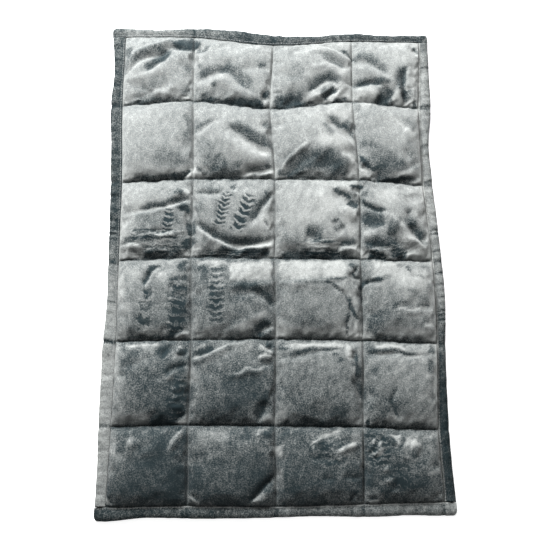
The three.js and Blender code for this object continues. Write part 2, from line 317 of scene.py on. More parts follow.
def stroke(path, width, places, taper=0.3, edge=2, head_side=1, foot_side=1):
    """How strongly a stroke is felt at each place: 1 on its path, 0 well away from it."""
    line = stroke_line(path)
    reach = STROKE_REACH * width
    low, high = line.min(0) - reach, line.max(0) + reach
    near = np.flatnonzero(np.all((places > low) & (places < high), 1))
    points = places[near]
    closest = np.full(len(near), np.inf)
    passed = np.zeros(len(near))
    to_head = np.zeros(len(near))
    for k, (start, end) in enumerate(zip(line[:-1], line[1:])):
        run = end - start
        share = np.clip((points - start) @ run / (run @ run), 0, 1)
        away = points - start - share[:, None] * run
        distance = np.linalg.norm(away, axis=1)
        nearer = distance < closest
        closest[nearer] = distance[nearer]
        to_head[nearer] = away[nearer, 1]
        passed[nearer] = (k + share[nearer]) / (len(line) - 1)
    ends = ease(passed / taper) * ease((1 - passed) / taper)
    side = np.where(to_head > 0, head_side, foot_side)
    half_width = width * side * (END_WIDTH + (1 - END_WIDTH) * ends)
    felt = np.zeros(len(places))
    felt[near] = np.exp(-((closest / half_width) ** edge)) * (END_STRENGTH + (1 - END_STRENGTH) * ends)
    return felt


print("stroke from corner to corner:", len(stroke_line([(1, 1), (5, 7)])), "points")

# %% Folds of the first row
# Each fold: width, rise, path.
FOLDS = [
    (4.5, 3, (1.02, 1.52), (1.08, 1.24), (1.29, 1.13), (1.55, 1.06), (1.75, 1.02)),
    (5, -6.5, (1.05, 1.54), (1.2, 1.29), (1.42, 1.2), (1.56, 1.18), (1.69, 1.1), (1.87, 1.13), (2.01, 1.16)),
    (4.5, -4.5, (1.31, 1.46), (1.44, 1.36), (1.55, 1.27), (1.66, 1.2)),
    (7, 2.5, (1.13, 1.52), (1.37, 1.45), (1.61, 1.32), (1.77, 1.23), (2, 1.2)),
    (9, -3.4, (1.05, 1.89), (1.2, 1.74), (1.42, 1.66), (1.61, 1.57), (1.74, 1.47)),
    (7, 0.6, (1.4, 1.84), (1.61, 1.74), (1.8, 1.62), (1.98, 1.6)),
    (3, 2.5, (1.84, 1.87), (1.92, 1.91), (1.98, 1.96)),
    (4, -4.5, (2, 1.17), (2.08, 1.12), (2.13, 1.04)),
    (4, -2.5, (2.04, 1.22), (2.12, 1.17), (2.21, 1.12)),
    (7, -3.6, (2.04, 1.57), (2.19, 1.49), (2.34, 1.39), (2.44, 1.36), (2.55, 1.42), (2.68, 1.56),
     (2.83, 1.67)),
    (8, 3, (2.17, 1.62), (2.37, 1.53), (2.51, 1.61), (2.68, 1.76), (2.87, 1.83)),
    (5, -1.5, (2.58, 1.32), (2.78, 1.3), (2.94, 1.28)),
    (5, 2.5, (2.37, 1.92), (2.47, 1.78), (2.53, 1.72)),
    (5, 2, (2.63, 1.85), (2.8, 1.88)),
    (5, -5, (2.88, 1.73), (2.98, 1.76)),
    (5, 3.5, (2.93, 1.87), (2.99, 1.86)),
    (3.5, -4, (3.51, 1.02), (3.7, 1.04), (3.8, 1.08), (3.92, 1.16), (4.07, 1.27)),
    (5, 2.5, (3.41, 1.1), (3.64, 1.07), (3.78, 1.12), (3.92, 1.24), (4, 1.3)),
    (5, -3.5, (3.64, 1.19), (3.83, 1.29), (3.96, 1.37)),
    (6, 2, (3.45, 1.31), (3.69, 1.3), (3.86, 1.43), (3.97, 1.52)),
    (7, -5.5, (3.44, 1.7), (3.55, 1.59), (3.66, 1.51), (3.78, 1.53), (3.86, 1.61)),
    (3, 2.8, (3.48, 1.78), (3.64, 1.72), (3.75, 1.62)),
    (4.5, -5.5, (3.65, 1.82), (3.75, 1.71), (3.83, 1.69)),
    (2.6, 2, (3.69, 1.97), (3.76, 1.88), (3.86, 1.7)),
    (7, -4.5, (3.03, 1.96), (3.13, 1.85), (3.31, 1.77), (3.44, 1.76)),
    (5, -3.5, (4.1, 1.24), (4.3, 1.29), (4.43, 1.36), (4.57, 1.47)),
    (7, 2.5, (4.03, 1.37), (4.23, 1.36), (4.43, 1.47), (4.55, 1.61)),
    (5, -5.5, (3.9, 1.58), (4.02, 1.64), (4.17, 1.6), (4.33, 1.57), (4.47, 1.58)),
    (8, 3, (4.03, 1.73), (4.28, 1.71), (4.42, 1.76)),
    (8, -4.5, (4.33, 1.92), (4.43, 1.81), (4.55, 1.71), (4.63, 1.67)),
    (5, -5, (4.8, 1.29), (4.77, 1.43), (4.77, 1.61), (4.79, 1.8), (4.81, 1.93)),
    (4, 3.5, (4.7, 1.53), (4.7, 1.74), (4.76, 1.97)),
    (4, 0.8, (4.9, 1.56), (4.94, 1.84)),
    (4, -4.5, (4.88, 1.05), (4.97, 1.15)),
]
print("folds so far:", len(FOLDS))

# %% Folds of the second row
FOLDS += [
    (4, -5, (1.78, 2.95), (1.9, 2.9), (2, 2.84)),
    (6, 5, (2, 2.86), (1.96, 2.95), (1.9, 3.05)),
    (7, -5.5, (2.43, 2.2), (2.56, 2.29), (2.72, 2.41), (2.87, 2.52), (3, 2.58)),
    (8, 2, (2.52, 2.15), (2.77, 2.25), (2.96, 2.38)),
    (10, 3.5, (2.29, 2.28), (2.5, 2.44), (2.7, 2.57), (3, 2.7)),
    (4, -1.8, (2.02, 2.35), (2.15, 2.28), (2.29, 2.17)),
    (4, -5, (2.59, 2.88), (2.67, 2.82), (2.84, 2.82), (3, 2.85)),
    (4, 4, (2.77, 2.94), (3, 2.92)),
    (3, 2.5, (3.05, 2.87), (3.15, 2.69), (3.27, 2.56), (3.38, 2.49), (3.47, 2.41)),
    (9, -3.5, (3.13, 2.9), (3.3, 2.66), (3.5, 2.55)),
    (10, -3, (3.5, 2.58), (3.6, 2.67), (3.76, 2.64)),
    (7, 3.5, (3.61, 2.16), (3.71, 2.31), (3.86, 2.45), (3.98, 2.55)),
    (3, -2, (3.57, 2.22), (3.66, 2.35), (3.71, 2.4)),
    (6, -6.5, (3.66, 2.07), (3.73, 2.18), (3.82, 2.26), (3.9, 2.37), (3.99, 2.47)),
    (5, 4, (3.78, 2.59), (3.91, 2.69), (3.98, 2.79), (3.99, 2.93)),
    (4.5, -5, (4, 2.75), (4.13, 2.82), (4.25, 2.89), (4.23, 2.97)),
    (5, 3, (3.98, 2.63), (4.12, 2.75)),
    (6, 5, (4.02, 2.8), (4.13, 2.86), (4.18, 2.98)),
    (4, 2.5, (4.3, 2.94), (4.54, 2.88), (4.8, 2.77), (4.95, 2.71)),
    (5, -3.5, (4.46, 2.96), (4.72, 2.88), (4.97, 2.83)),
    (6, -2, (4.8, 2.43), (4.78, 2.6)),
    (6, 2, (4.8, 2.2), (4.92, 2.37)),
]
print("folds so far:", len(FOLDS))

# %% Folds of the third row
FOLDS += [
    (3.5, -3.8, (1.1, 3.36), (1.34, 3.32), (1.62, 3.29), (1.84, 3.24), (1.98, 3.22)),
    (3, 2.2, (1.12, 3.41), (1.56, 3.35), (1.82, 3.3), (1.98, 3.27)),
    (4, 3.5, (1.71, 3.21), (1.77, 3.13), (1.84, 3.12), (1.97, 3.18)),
    (5, -3.5, (1.93, 3.34), (1.98, 3.6)),
    (3, 2.5, (1.3, 3.68), (1.42, 3.65), (1.57, 3.66), (1.76, 3.65), (1.92, 3.61)),
    (3, -3, (1.42, 3.61), (1.76, 3.6)),
    (3, 2.5, (1.09, 3.78), (1.34, 3.79)),
    (3, 2.5, (1.34, 3.85), (1.53, 3.86), (1.75, 3.87)),
    (5, -1.2, (1.15, 3.83), (1.33, 3.9), (1.65, 3.92)),
    (4, -2, (1.05, 3.9), (1.12, 3.8)),
    (6, -6.5, (2.05, 3.48), (2.16, 3.58), (2.34, 3.68), (2.5, 3.75), (2.71, 3.75), (2.91, 3.72), (3, 3.7)),
    (3, 3.5, (2.07, 3.57), (2.18, 3.68), (2.34, 3.77), (2.56, 3.84)),
    (4, 4.5, (2.56, 3.86), (2.75, 3.82), (2.98, 3.81)),
    (6, -3.5, (2.07, 3.95), (2.37, 3.94), (2.78, 3.96)),
    (2.5, 2, (2.1, 3.93), (2.35, 3.91)),
    (2.5, 1.5, (2.46, 3.92), (2.7, 3.92)),
    (6, -5, (2.69, 3.51), (2.81, 3.35), (2.9, 3.21), (2.98, 3.11)),
    (2.5, -1.5, (2.84, 3.48), (2.93, 3.57)),
    (4, -3, (2.05, 3.13), (2.23, 3.15), (2.37, 3.13)),
    (4, -2.5, (2.46, 3.1), (2.54, 3.09)),
    (5, -3.5, (3.02, 3.12), (3.1, 3.05)),
    (7, -6.5, (3.67, 3.06), (3.77, 3.16), (3.86, 3.22), (3.92, 3.32)),
    (4, 3.5, (3.73, 3.03), (3.88, 3.11), (3.97, 3.16)),
    (3, -5.5, (3.88, 3.1), (3.97, 3.11), (4.06, 3.07)),
    (5, 3.5, (3.82, 3.27), (3.88, 3.37), (3.97, 3.47)),
    (3, -2.5, (3.68, 3.51), (3.75, 3.49)),
    (8, -5, (3.38, 3.67), (3.44, 3.64), (3.5, 3.66)),
    (5, -2.5, (3.72, 3.63), (3.82, 3.53)),
    (2.5, 2, (3.35, 3.75), (3.55, 3.74), (3.75, 3.77)),
    (2.5, 1.8, (3.42, 3.8), (3.67, 3.81)),
    (2.5, 1.8, (3.46, 3.88), (3.61, 3.88)),
    (4, 4.5, (3.75, 3.85), (3.84, 3.83), (3.94, 3.86), (4.03, 3.95)),
    (7, -4.5, (3.6, 3.92), (3.8, 3.9)),
    (6, -3, (3.05, 3.94), (3.4, 3.95)),
    (3.5, -5.5, (3.99, 3.25), (4.12, 3.29), (4.27, 3.33), (4.38, 3.34)),
    (8, -3, (4.05, 3.49), (4.2, 3.45), (4.35, 3.42)),
    (6, 3, (4.03, 3.63), (4.26, 3.65)),
    (5, 4.5, (4.38, 3.34), (4.5, 3.44), (4.6, 3.53), (4.68, 3.63), (4.83, 3.72), (4.9, 3.83)),
    (6, -4.5, (4.36, 3.59), (4.51, 3.67), (4.61, 3.79), (4.66, 3.9)),
    (6, -5.5, (4.68, 3.44), (4.79, 3.61), (4.91, 3.72)),
    (3, 2.5, (4.47, 3.12), (4.6, 3.24), (4.72, 3.41)),
    (4, -2.5, (4.67, 3.29), (4.73, 3.4)),
    (6, -2, (4.72, 3.08), (4.74, 3.22)),
    (3.5, 3, (4.1, 3.84), (4.3, 3.83), (4.4, 3.93)),
    (5, 3.5, (4.6, 3.66), (4.74, 3.69), (4.84, 3.76), (4.88, 3.86), (4.93, 3.96)),
    (3.5, 2.5, (4.63, 3.91), (4.74, 3.87), (4.84, 3.93)),
    (3.5, 2.2, (4.02, 3.79), (4.12, 3.8), (4.22, 3.84)),
    (4, -3.5, (4.05, 3.86), (4.1, 3.93)),
]
print("folds so far:", len(FOLDS))

# %% Folds of the fourth row
FOLDS += [
    (3.5, -5.5, (1.38, 4.3), (1.42, 4.18), (1.48, 4.11)),
    (2.5, 2.5, (1.36, 4.32), (1.43, 4.23)),
    (3, -2.5, (1.45, 4.11), (1.59, 4.07)),
    (3, 2, (1.68, 4.34), (1.72, 4.21), (1.74, 4.11)),
    (4, 3, (1.77, 4.95), (1.88, 4.89), (1.98, 4.91)),
    (5, 3, (2.4, 4.3), (2.64, 4.29), (2.91, 4.28), (3, 4.27)),
    (6, -2.5, (2.45, 4.37), (2.65, 4.37), (2.9, 4.35)),
    (5, -5.5, (2.75, 4.37), (2.85, 4.41), (2.93, 4.49), (2.98, 4.59)),
    (10, 2.5, (2.41, 4.83), (2.64, 4.72), (2.88, 4.6)),
    (6, -5.5, (2.77, 4.86), (2.95, 4.76)),
    (6, 4, (2.84, 4.9), (2.98, 4.84)),
    (2.5, 1.2, (2.43, 4.27), (2.61, 4.13)),
    (2.5, 1, (2.58, 4.27), (2.66, 4.15)),
    (5, 3.5, (3.04, 4.25), (3.16, 4.27), (3.38, 4.25), (3.51, 4.25), (3.65, 4.23), (3.83, 4.22)),
    (2.5, -2.2, (3.3, 4.28), (3.55, 4.27), (3.7, 4.25), (3.83, 4.24)),
    (2.6, -4.2, (3.56, 4.26), (3.69, 4.32), (3.78, 4.38), (3.83, 4.49), (3.88, 4.62), (3.97, 4.74)),
    (2.5, 1.5, (3.65, 4.28), (3.8, 4.34)),
    (3, 2.5, (3.88, 4.28), (3.95, 4.36), (3.98, 4.43)),
    (2.5, -2.4, (3.85, 4.64), (3.815, 4.78), (3.82, 4.96)),
    (8, 3.5, (3.9, 4.8), (3.95, 4.79)),
    (4.5, 3.5, (3.9, 4.94), (3.97, 4.92), (4.04, 4.98)),
    (3, -4.5, (3.84, 4.14), (3.9, 4.19), (4.02, 4.21)),
    (5, 3, (3.86, 4.08), (3.95, 4.05), (4.08, 4.1)),
    (4, -3, (3.9, 4.1), (3.95, 4.12)),
    (3.5, -5.5, (4.02, 4.29), (4.08, 4.25), (4.27, 4.22)),
    (3, -4, (4.02, 4.3), (4, 4.43), (4, 4.55)),
    (5, 2.5, (4.1, 4.2), (4.3, 4.18)),
    (10, 2, (4.47, 4.2), (4.75, 4.37)),
    (2, 1.5, (4.54, 4.58), (4.65, 4.6), (4.85, 4.55)),
    (4, -1.6, (4.42, 4.52), (4.63, 4.48)),
    (4, -2.5, (4.8, 4.52), (4.95, 4.53)),
    (5, 2.5, (4.8, 4.74), (4.97, 4.8)),
    (2.5, -2, (4.6, 4.06), (4.66, 4.14), (4.77, 4.2)),
]
print("folds so far:", len(FOLDS))

# %% Folds of the fifth row
FOLDS += [
    (5, -4.5, (1.62, 5.18), (1.7, 5.08), (1.77, 5.04)),
    (5, 4.5, (1.82, 5.15), (1.85, 5.05)),
    (4, -4, (1.93, 5.18), (1.95, 5.05)),
    (3, -3.5, (1.7, 5.36), (1.82, 5.3), (1.97, 5.27)),
    (3, 2.5, (1.7, 5.42), (1.79, 5.37)),
    (7, -2.5, (1.14, 5.26), (1.34, 5.19), (1.55, 5.13)),
    (3, 2, (1.78, 5.56), (1.92, 5.53)),
    (3, 2, (1.78, 5.66), (1.9, 5.64)),
    (3, 2, (1.78, 5.77), (1.92, 5.75)),
    (3, -3.5, (1.87, 5.89), (1.96, 5.83)),
    (4, 4.5, (2.01, 5.25), (2.09, 5.22), (2.22, 5.16), (2.36, 5.09), (2.47, 5.05), (2.67, 5.03)),
    (5, -4.5, (2.03, 5.17), (2.17, 5.12), (2.3, 5.07)),
    (3, 3, (2.43, 5.42), (2.6, 5.38), (2.67, 5.34), (2.77, 5.35), (2.95, 5.31)),
    (3, 2.5, (2.81, 5.21), (2.87, 5.19), (2.98, 5.21)),
    (4, -2.5, (2.8, 5.26), (2.98, 5.26)),
    (4, 3.5, (2.83, 5.05), (2.87, 5.12), (2.98, 5.15)),
    (6, -5, (2.9, 5.06), (2.97, 5.08)),
    (6, -5.5, (2.9, 5.63), (2.89, 5.72), (2.83, 5.86), (2.79, 5.98)),
    (6, 3.5, (2.92, 5.83), (2.83, 5.98)),
    (6, 2, (3.03, 5.07), (3.26, 5.08), (3.55, 5.06), (3.83, 5.06)),
    (4, -3.5, (3.12, 5.22), (3.29, 5.16), (3.48, 5.11), (3.77, 5.09)),
    (4, 2, (3.04, 5.22), (3.13, 5.27)),
    (4, 3.5, (3.83, 5.05), (3.87, 5.19)),
    (4, -4.5, (3.9, 5.08), (3.9, 5.2)),
    (6, -4.5, (3.87, 5.32), (3.93, 5.47), (3.98, 5.61), (3.99, 5.82)),
    (5, 2.6, (4.1, 5.07), (4.3, 5.06), (4.47, 5.06), (4.59, 5.09)),
    (3.5, -4.5, (4.01, 5.13), (4.25, 5.12), (4.47, 5.1), (4.6, 5.14), (4.98, 5.1)),
    (3, -2.5, (4.47, 5.48), (4.38, 5.66), (4.43, 5.81), (4.52, 5.85)),
]
print("folds so far:", len(FOLDS))

# %% Folds of the sixth row
FOLDS += [
    (6, 2.5, (1.25, 6.15), (1.37, 6.19)),
    (5, 4.5, (1.78, 6.25), (1.86, 6.12), (1.93, 6.03)),
    (6, 2, (1.4, 6.31), (1.57, 6.24), (1.65, 6.12)),
    (4, -3, (1.01, 6.9), (1.1, 6.98)),
    (4, 2.5, (2.02, 6.86), (2.1, 6.93), (2.2, 6.98)),
    (5, -6.5, (3.01, 6.55), (2.84, 6.73), (2.7, 6.94)),
    (7, 3.5, (2.99, 6.74), (2.83, 6.89), (2.73, 6.99)),
    (4, 2.5, (2.75, 6.11), (2.85, 6.07), (2.98, 6.06)),
    (4, 2.5, (2.93, 6.29), (3, 6.26)),
    (4, 3.5, (3.7, 6.3), (3.81, 6.22), (3.94, 6.18)),
    (4, 2.5, (3.45, 6.19), (3.52, 6.11)),
    (4, -2.5, (3.38, 6.27), (3.44, 6.35), (3.58, 6.36), (3.75, 6.41)),
    (2.5, -2, (3.75, 6.61), (3.96, 6.62)),
    (2.5, -1.8, (3.53, 6.6), (3.65, 6.63)),
    (3, -3.5, (3.83, 6.96), (3.93, 6.82)),
    (3, 3.5, (4.09, 6.34), (4.18, 6.28), (4.23, 6.13)),
    (3, -2.5, (4.15, 6.38), (4.23, 6.26)),
    (3, 2.5, (4.3, 6.06), (4.45, 6.2)),
    (8, 3, (4.6, 6.14), (4.75, 6.2)),
    (3, 2.5, (4.21, 6.53), (4.31, 6.5), (4.36, 6.61), (4.24, 6.67)),
    (3, 2, (4.26, 6.66), (4.39, 6.69)),
    (3, 2, (4.33, 6.82), (4.45, 6.8)),
    (2.5, 1.8, (4.04, 6.27), (4.11, 6.21), (4.15, 6.1)),
    (3, 2, (4.06, 6.97), (4.2, 6.94)),
    (4, 1.8, (4.56, 6.14), (4.51, 6.28), (4.49, 6.4)),
]
print("folds so far:", len(FOLDS))

# %% Height of the folds
# Places are read off a view that looks at the far rows more aslant, so what lies on top of a pocket is nearer
# to the foot than it seems: by these shares of a pocket, one for each row, but never past the seam.
ASLANT = np.array([0.13, 0.1, 0.07, 0.068, 0.038, 0.05])
BY_THE_SEAM = 0.98

# A path follows the side of a fold that shows: the dark head side of a trough, the lit head side of a ridge.
# The fold is shifted from there towards the foot, by a share of its width, and its two sides differ.
TROUGH_SHIFT = 0.8
TROUGH = {"edge": 1.5, "head_side": 1.4, "foot_side": 0.6}
RIDGE_SHIFT = 0.4
RIDGE = {"head_side": 0.65, "foot_side": 1.35}
DEPTH = 0.85

# Sizes in millimetres of the noises that make a stroke wander and fray.
WANDER_SIZE = 11
FRAY_SIZE = 3.5


def cloud(size, seed, places=PLACES):
    """Soft noise from -1 to 1 over the cover, with features of that size in millimetres."""
    shift = 37.0 * seed
    return np.array([noise.noise((x / size + shift, y / size, shift)) for x, y in places])


def frayed_places(coarse, fine, seed):
    """The cover's places, shifted a little by noise, so that strokes get uneven edges."""
    wander = np.stack([cloud(WANDER_SIZE, seed), cloud(WANDER_SIZE, seed + 1)], 1)
    fray = np.stack([cloud(FRAY_SIZE, seed + 2), cloud(FRAY_SIZE, seed + 3)], 1)
    return PLACES + coarse * wander + fine * fray


def lowered(path, reach):
    """The path moved towards the foot: by its row's share, and by a reach in millimetres."""
    a, b = np.array(path, float).T
    _, aside = pocket_of(a, COLUMNS)
    index, share = pocket_of(b, ROWS)
    height = swell(aside, STEEPNESS_ACROSS) * swell(share, STEEPNESS_DOWN)
    lower = share + ASLANT[index] * height + reach / SQUARE
    return list(zip(a, index + 1 + np.minimum(lower, np.maximum(share, BY_THE_SEAM))))


def fold_height(fold, places):
    width, rise, *path = fold
    shift, sides = (TROUGH_SHIFT, TROUGH) if rise < 0 else (RIDGE_SHIFT, RIDGE)
    return DEPTH * rise * stroke(lowered(path, shift * width), width, places, **sides)


uneven_places = frayed_places(coarse=1.6, fine=0.3, seed=21)
folds = sum(fold_height(fold, uneven_places) for fold in FOLDS)
print("deepest fold", round(folds.min(), 1), "mm, highest", round(folds.max(), 1), "mm")

# %% [markdown]
# ## Small unevenness
# Thread gathers the cloth a little, so short puckers stand square to every seam, and the beads make a pocket
# slightly lumpy. Both are too small and too many to place one by one: a few waves and a noise do it.

# %% Puckers and lumps
PUCKER_RISE = 0.65
PUCKER_REACH = 8
PUCKER_START = 2.5
LONG_SEAM_SHARE = 0.5
LUMP_RISE = 0.9
LUMP_SIZE = 26
SEAM_STRAY = 1.5
STRAY_REACH = 12
STRAY_FADE = 0.1

# Each ripple along a seam: its part of the rise, its length in millimetres, how the seed turns it.
RIPPLES = [(0.5, 1.9, 1), (0.3, 1.13, 2.3), (0.2, 3.7, 0.7)]


def ripple(distance, seed):
    """Uneven ripple along a seam, from -1 to 1."""
    return sum(part * np.sin(distance / length + turn * seed) for part, length, turn in RIPPLES)


def to_seam(share):
    """Millimetres from the nearer seam, for a share of the way through a pocket."""
    return np.minimum(share, 1 - share) * SQUARE


def puckered(distance):
    return np.exp(-((distance / PUCKER_REACH) ** 2)) * ease(distance / PUCKER_START)


def puckers():
    seam = np.round(A) + 10 * np.round(B)
    by_long = LONG_SEAM_SHARE * puckered(to_seam(across)) * ripple(Y, seam)
    by_cross = puckered(to_seam(down)) * ripple(X, seam + 3)
    uneven = np.clip(0.6 + 1.2 * cloud(size=30, seed=3), 0, 1.4)
    return PUCKER_RISE * uneven * (by_long + by_cross)


def strays():
    """How far the cloth by a cross seam strays from it, towards the head or the foot."""
    near = np.exp(-((to_seam(down) / STRAY_REACH) ** 2)) * ease(from_border(A, B) / STRAY_FADE)
    return SEAM_STRAY * near * (cloud(size=17, seed=8) + 0.5 * cloud(size=7, seed=9))


lumps = LUMP_RISE * cloud(LUMP_SIZE, 1) + 0.5 * LUMP_RISE * cloud(LUMP_SIZE / 2.5, 2)
print("puckers up to", round(np.abs(puckers()).max(), 2), "mm")
print("strays up to", round(np.abs(strays()).max(), 2), "mm")

# %% [markdown]
# ## The upper cover
# The upper cover takes the seams' height, the fill, the folds and the small unevenness. The thread holds the
# cloth down, so a fold that runs into a seam fades there.

# %% Points of the upper cover
# What is left of a fold on a seam, how soon folds and puckers fade at the border, and the deepest dent.
SEAM_GRIP = 0.3
FOLD_FADE = 0.06
PUCKER_FADE = 0.05
DEEPEST_DENT = 0.6


def cover_points():
    """The upper cover as it is drawn, in millimetres."""
    seam = covers_height(A, B) + COVERS / 2
    crown = CROWNS[row, column]
    border = from_border(A, B)
    grip = (SEAM_GRIP + (1 - SEAM_GRIP) * fill) * ease(border / FOLD_FADE)
    height = seam + (crown - seam) * fill + folds * grip + puckers() * ease(border / PUCKER_FADE)
    return np.stack([X, Y + strays(), np.maximum(height + lumps * fill, seam - DEEPEST_DENT)], 1)


def quads(wide, tall, first=0):
    """Faces of a grid of points, seen from above with rows running down."""
    corner = first + (np.arange(tall - 1)[:, None] * wide + np.arange(wide - 1)).ravel()
    return np.stack([corner + wide, corner + wide + 1, corner + 1, corner], 1)


def mesh_object(name, points, faces):
    mesh = bpy.data.meshes.new(name)
    mesh.from_pydata(np.asarray(points).tolist(), [], [list(map(int, face)) for face in faces])
    mesh.validate()
    mesh.shade_smooth()
    piece = bpy.data.objects.new(name, mesh)
    bpy.context.scene.collection.objects.link(piece)
    return piece


WIDE, TALL = len(grid_lines(COLUMNS)), len(grid_lines(ROWS))
drawn = cover_points()
print("drawn cover:", WIDE, "by", TALL, "points, up to", round(drawn[:, 2].max(), 1), "mm")

# %% [markdown]
# ## Letting the cover settle
# Drawn folds look pressed into rubber until the cloth has had its say. So the upper cover is handed to
# Blender's Cloth for a few frames: its seams are held, each pocket's cloth is given a little more length than
# it needs, and a faint pressure stands for the filling. The creases sharpen and the cloth gathers along the
# seams by itself. Every other grid line is enough for that; the moves are then spread over the full grid.

# %% Cloth simulation of the upper cover
SETTLE_FRAMES = 9
MOST_SLACK = 0.022
FURTHEST_MOVE = 6

# Slack of each pocket's cloth as a share of the most, one row for each row of pockets from the head.
SLACK = np.array([
    [0.8, 0.8, 0.9, 0.9],
    [0.3, 0.6, 0.7, 0.4],
    [0.8, 0.9, 0.7, 0.9],
    [0.5, 0.6, 0.6, 0.6],
    [0.5, 0.5, 0.4, 0.5],
    [0.5, 0.5, 0.6, 0.6],
])


def add_cloth(cover, frames):
    cloth = cover.modifiers.new("cloth", "CLOTH")
    cloth.settings.vertex_group_mass = "sewn"
    cloth.settings.vertex_group_shrink = "tight"
    cloth.settings.shrink_min = -MOST_SLACK
    cloth.settings.mass = 0.004
    cloth.settings.tension_stiffness = 20
    cloth.settings.compression_stiffness = 20
    cloth.settings.shear_stiffness = 10
    cloth.settings.bending_stiffness = 4
    cloth.settings.use_pressure = True
    cloth.settings.uniform_pressure_force = 0.2
    cloth.settings.effector_weights.gravity = 0
    cloth.collision_settings.use_collision = False
    cloth.point_cache.frame_end = frames


def doubled(field):
    """Puts a smooth midpoint between each two rows of a grid."""
    padded = np.concatenate([field[:1], field, field[-1:]])
    finer = np.empty((2 * len(field) - 1, *field.shape[1:]))
    finer[::2] = field
    finer[1::2] = (9 * (padded[1:-2] + padded[2:-1]) - padded[:-3] - padded[3:]) / 16
    return finer


def settle(points):
    """The cover's points after a few frames of simulation, in millimetres."""
    every_other = (np.arange(0, TALL, 2)[:, None] * WIDE + np.arange(0, WIDE, 2)).ravel()
    tall, wide = (TALL + 1) // 2, (WIDE + 1) // 2
    start = points[every_other]
    cover = mesh_object("settling_cover", start * MM, quads(wide, tall))
    on_seam = (A == np.round(A)) | (B == np.round(B)) | (from_border(A, B) == 0)
    sewn = cover.vertex_groups.new(name="sewn")
    sewn.add(np.flatnonzero(on_seam[every_other]).tolist(), 1, "REPLACE")
    tight = cover.vertex_groups.new(name="tight")
    slack = SLACK[row, column][every_other]
    for share in np.unique(slack):
        tight.add(np.flatnonzero(slack == share).tolist(), 1 - float(share), "REPLACE")
    add_cloth(cover, SETTLE_FRAMES)
    for step in range(1, SETTLE_FRAMES + 1):
        bpy.context.scene.frame_set(step)
    settled = cover.evaluated_get(bpy.context.evaluated_depsgraph_get())
    ends = np.empty(3 * len(start))
    settled.data.vertices.foreach_get("co", ends)
    bpy.data.objects.remove(cover)
    bpy.context.scene.frame_set(1)
    moves = FURTHEST_MOVE * np.tanh((ends.reshape(-1, 3) / MM - start) / FURTHEST_MOVE)
    rows_doubled = doubled(moves.reshape(tall, wide, 3))
    return points + doubled(rows_doubled.transpose(1, 0, 2)).transpose(1, 0, 2).reshape(-1, 3)


upper = settle(drawn)
print("settled: points moved up to", round(np.abs(upper - drawn).max(), 1), "mm")
print("top of the pad:", round(upper[:, 2].max(), 1), "mm")

# %% [markdown]
# ## The quilted pad
# The under cover lies flat on the ground and lifts only at the seams. A rim joins the two covers inside the
# binding, so that the pad is one closed form.

# %% Mesh of the pad
CHANNEL = 0.12


def under_heights(a, b):
    _, u = pocket_of(a, COLUMNS)
    _, v = pocket_of(b, ROWS)
    from_seam = np.minimum.reduce([u, 1 - u, v, 1 - v])
    return (covers_height(a, b) - COVERS / 2) * (1 - np.sqrt(ease(from_seam / CHANNEL)))


def rim_loop(wide, tall, first=0):
    """Points round the edge of a grid, anticlockwise from above."""
    left = np.arange(tall - 1) * wide
    foot = (tall - 1) * wide + np.arange(wide - 1)
    right = (np.arange(tall - 1, 0, -1) + 1) * wide - 1
    head = np.arange(wide - 1, 0, -1)
    return first + np.concatenate([left, foot, right, head])


def pad_object():
    a2, b2 = (v.ravel() for v in np.meshgrid(grid_lines(COLUMNS)[::2], grid_lines(ROWS)[::2]))
    under = np.stack([*plan(a2, b2), under_heights(a2, b2)], 1)
    wide2, tall2 = (WIDE + 1) // 2, (TALL + 1) // 2
    high = rim_loop(WIDE, TALL)
    low = rim_loop(wide2, tall2, len(upper))
    rim = []
    for k in range(len(low)):
        here, there = low[k], low[(k + 1) % len(low)]
        up, mid, end = high[2 * k], high[2 * k + 1], high[(2 * k + 2) % len(high)]
        rim += [(here, there, end, mid), (here, mid, up)]
    faces = [*quads(WIDE, TALL), *quads(wide2, tall2, len(upper))[:, ::-1], *rim]
    return mesh_object("quilted_plush", np.concatenate([upper, under]) * MM, faces)


pad = pad_object()
print("pad:", len(pad.data.polygons), "faces")
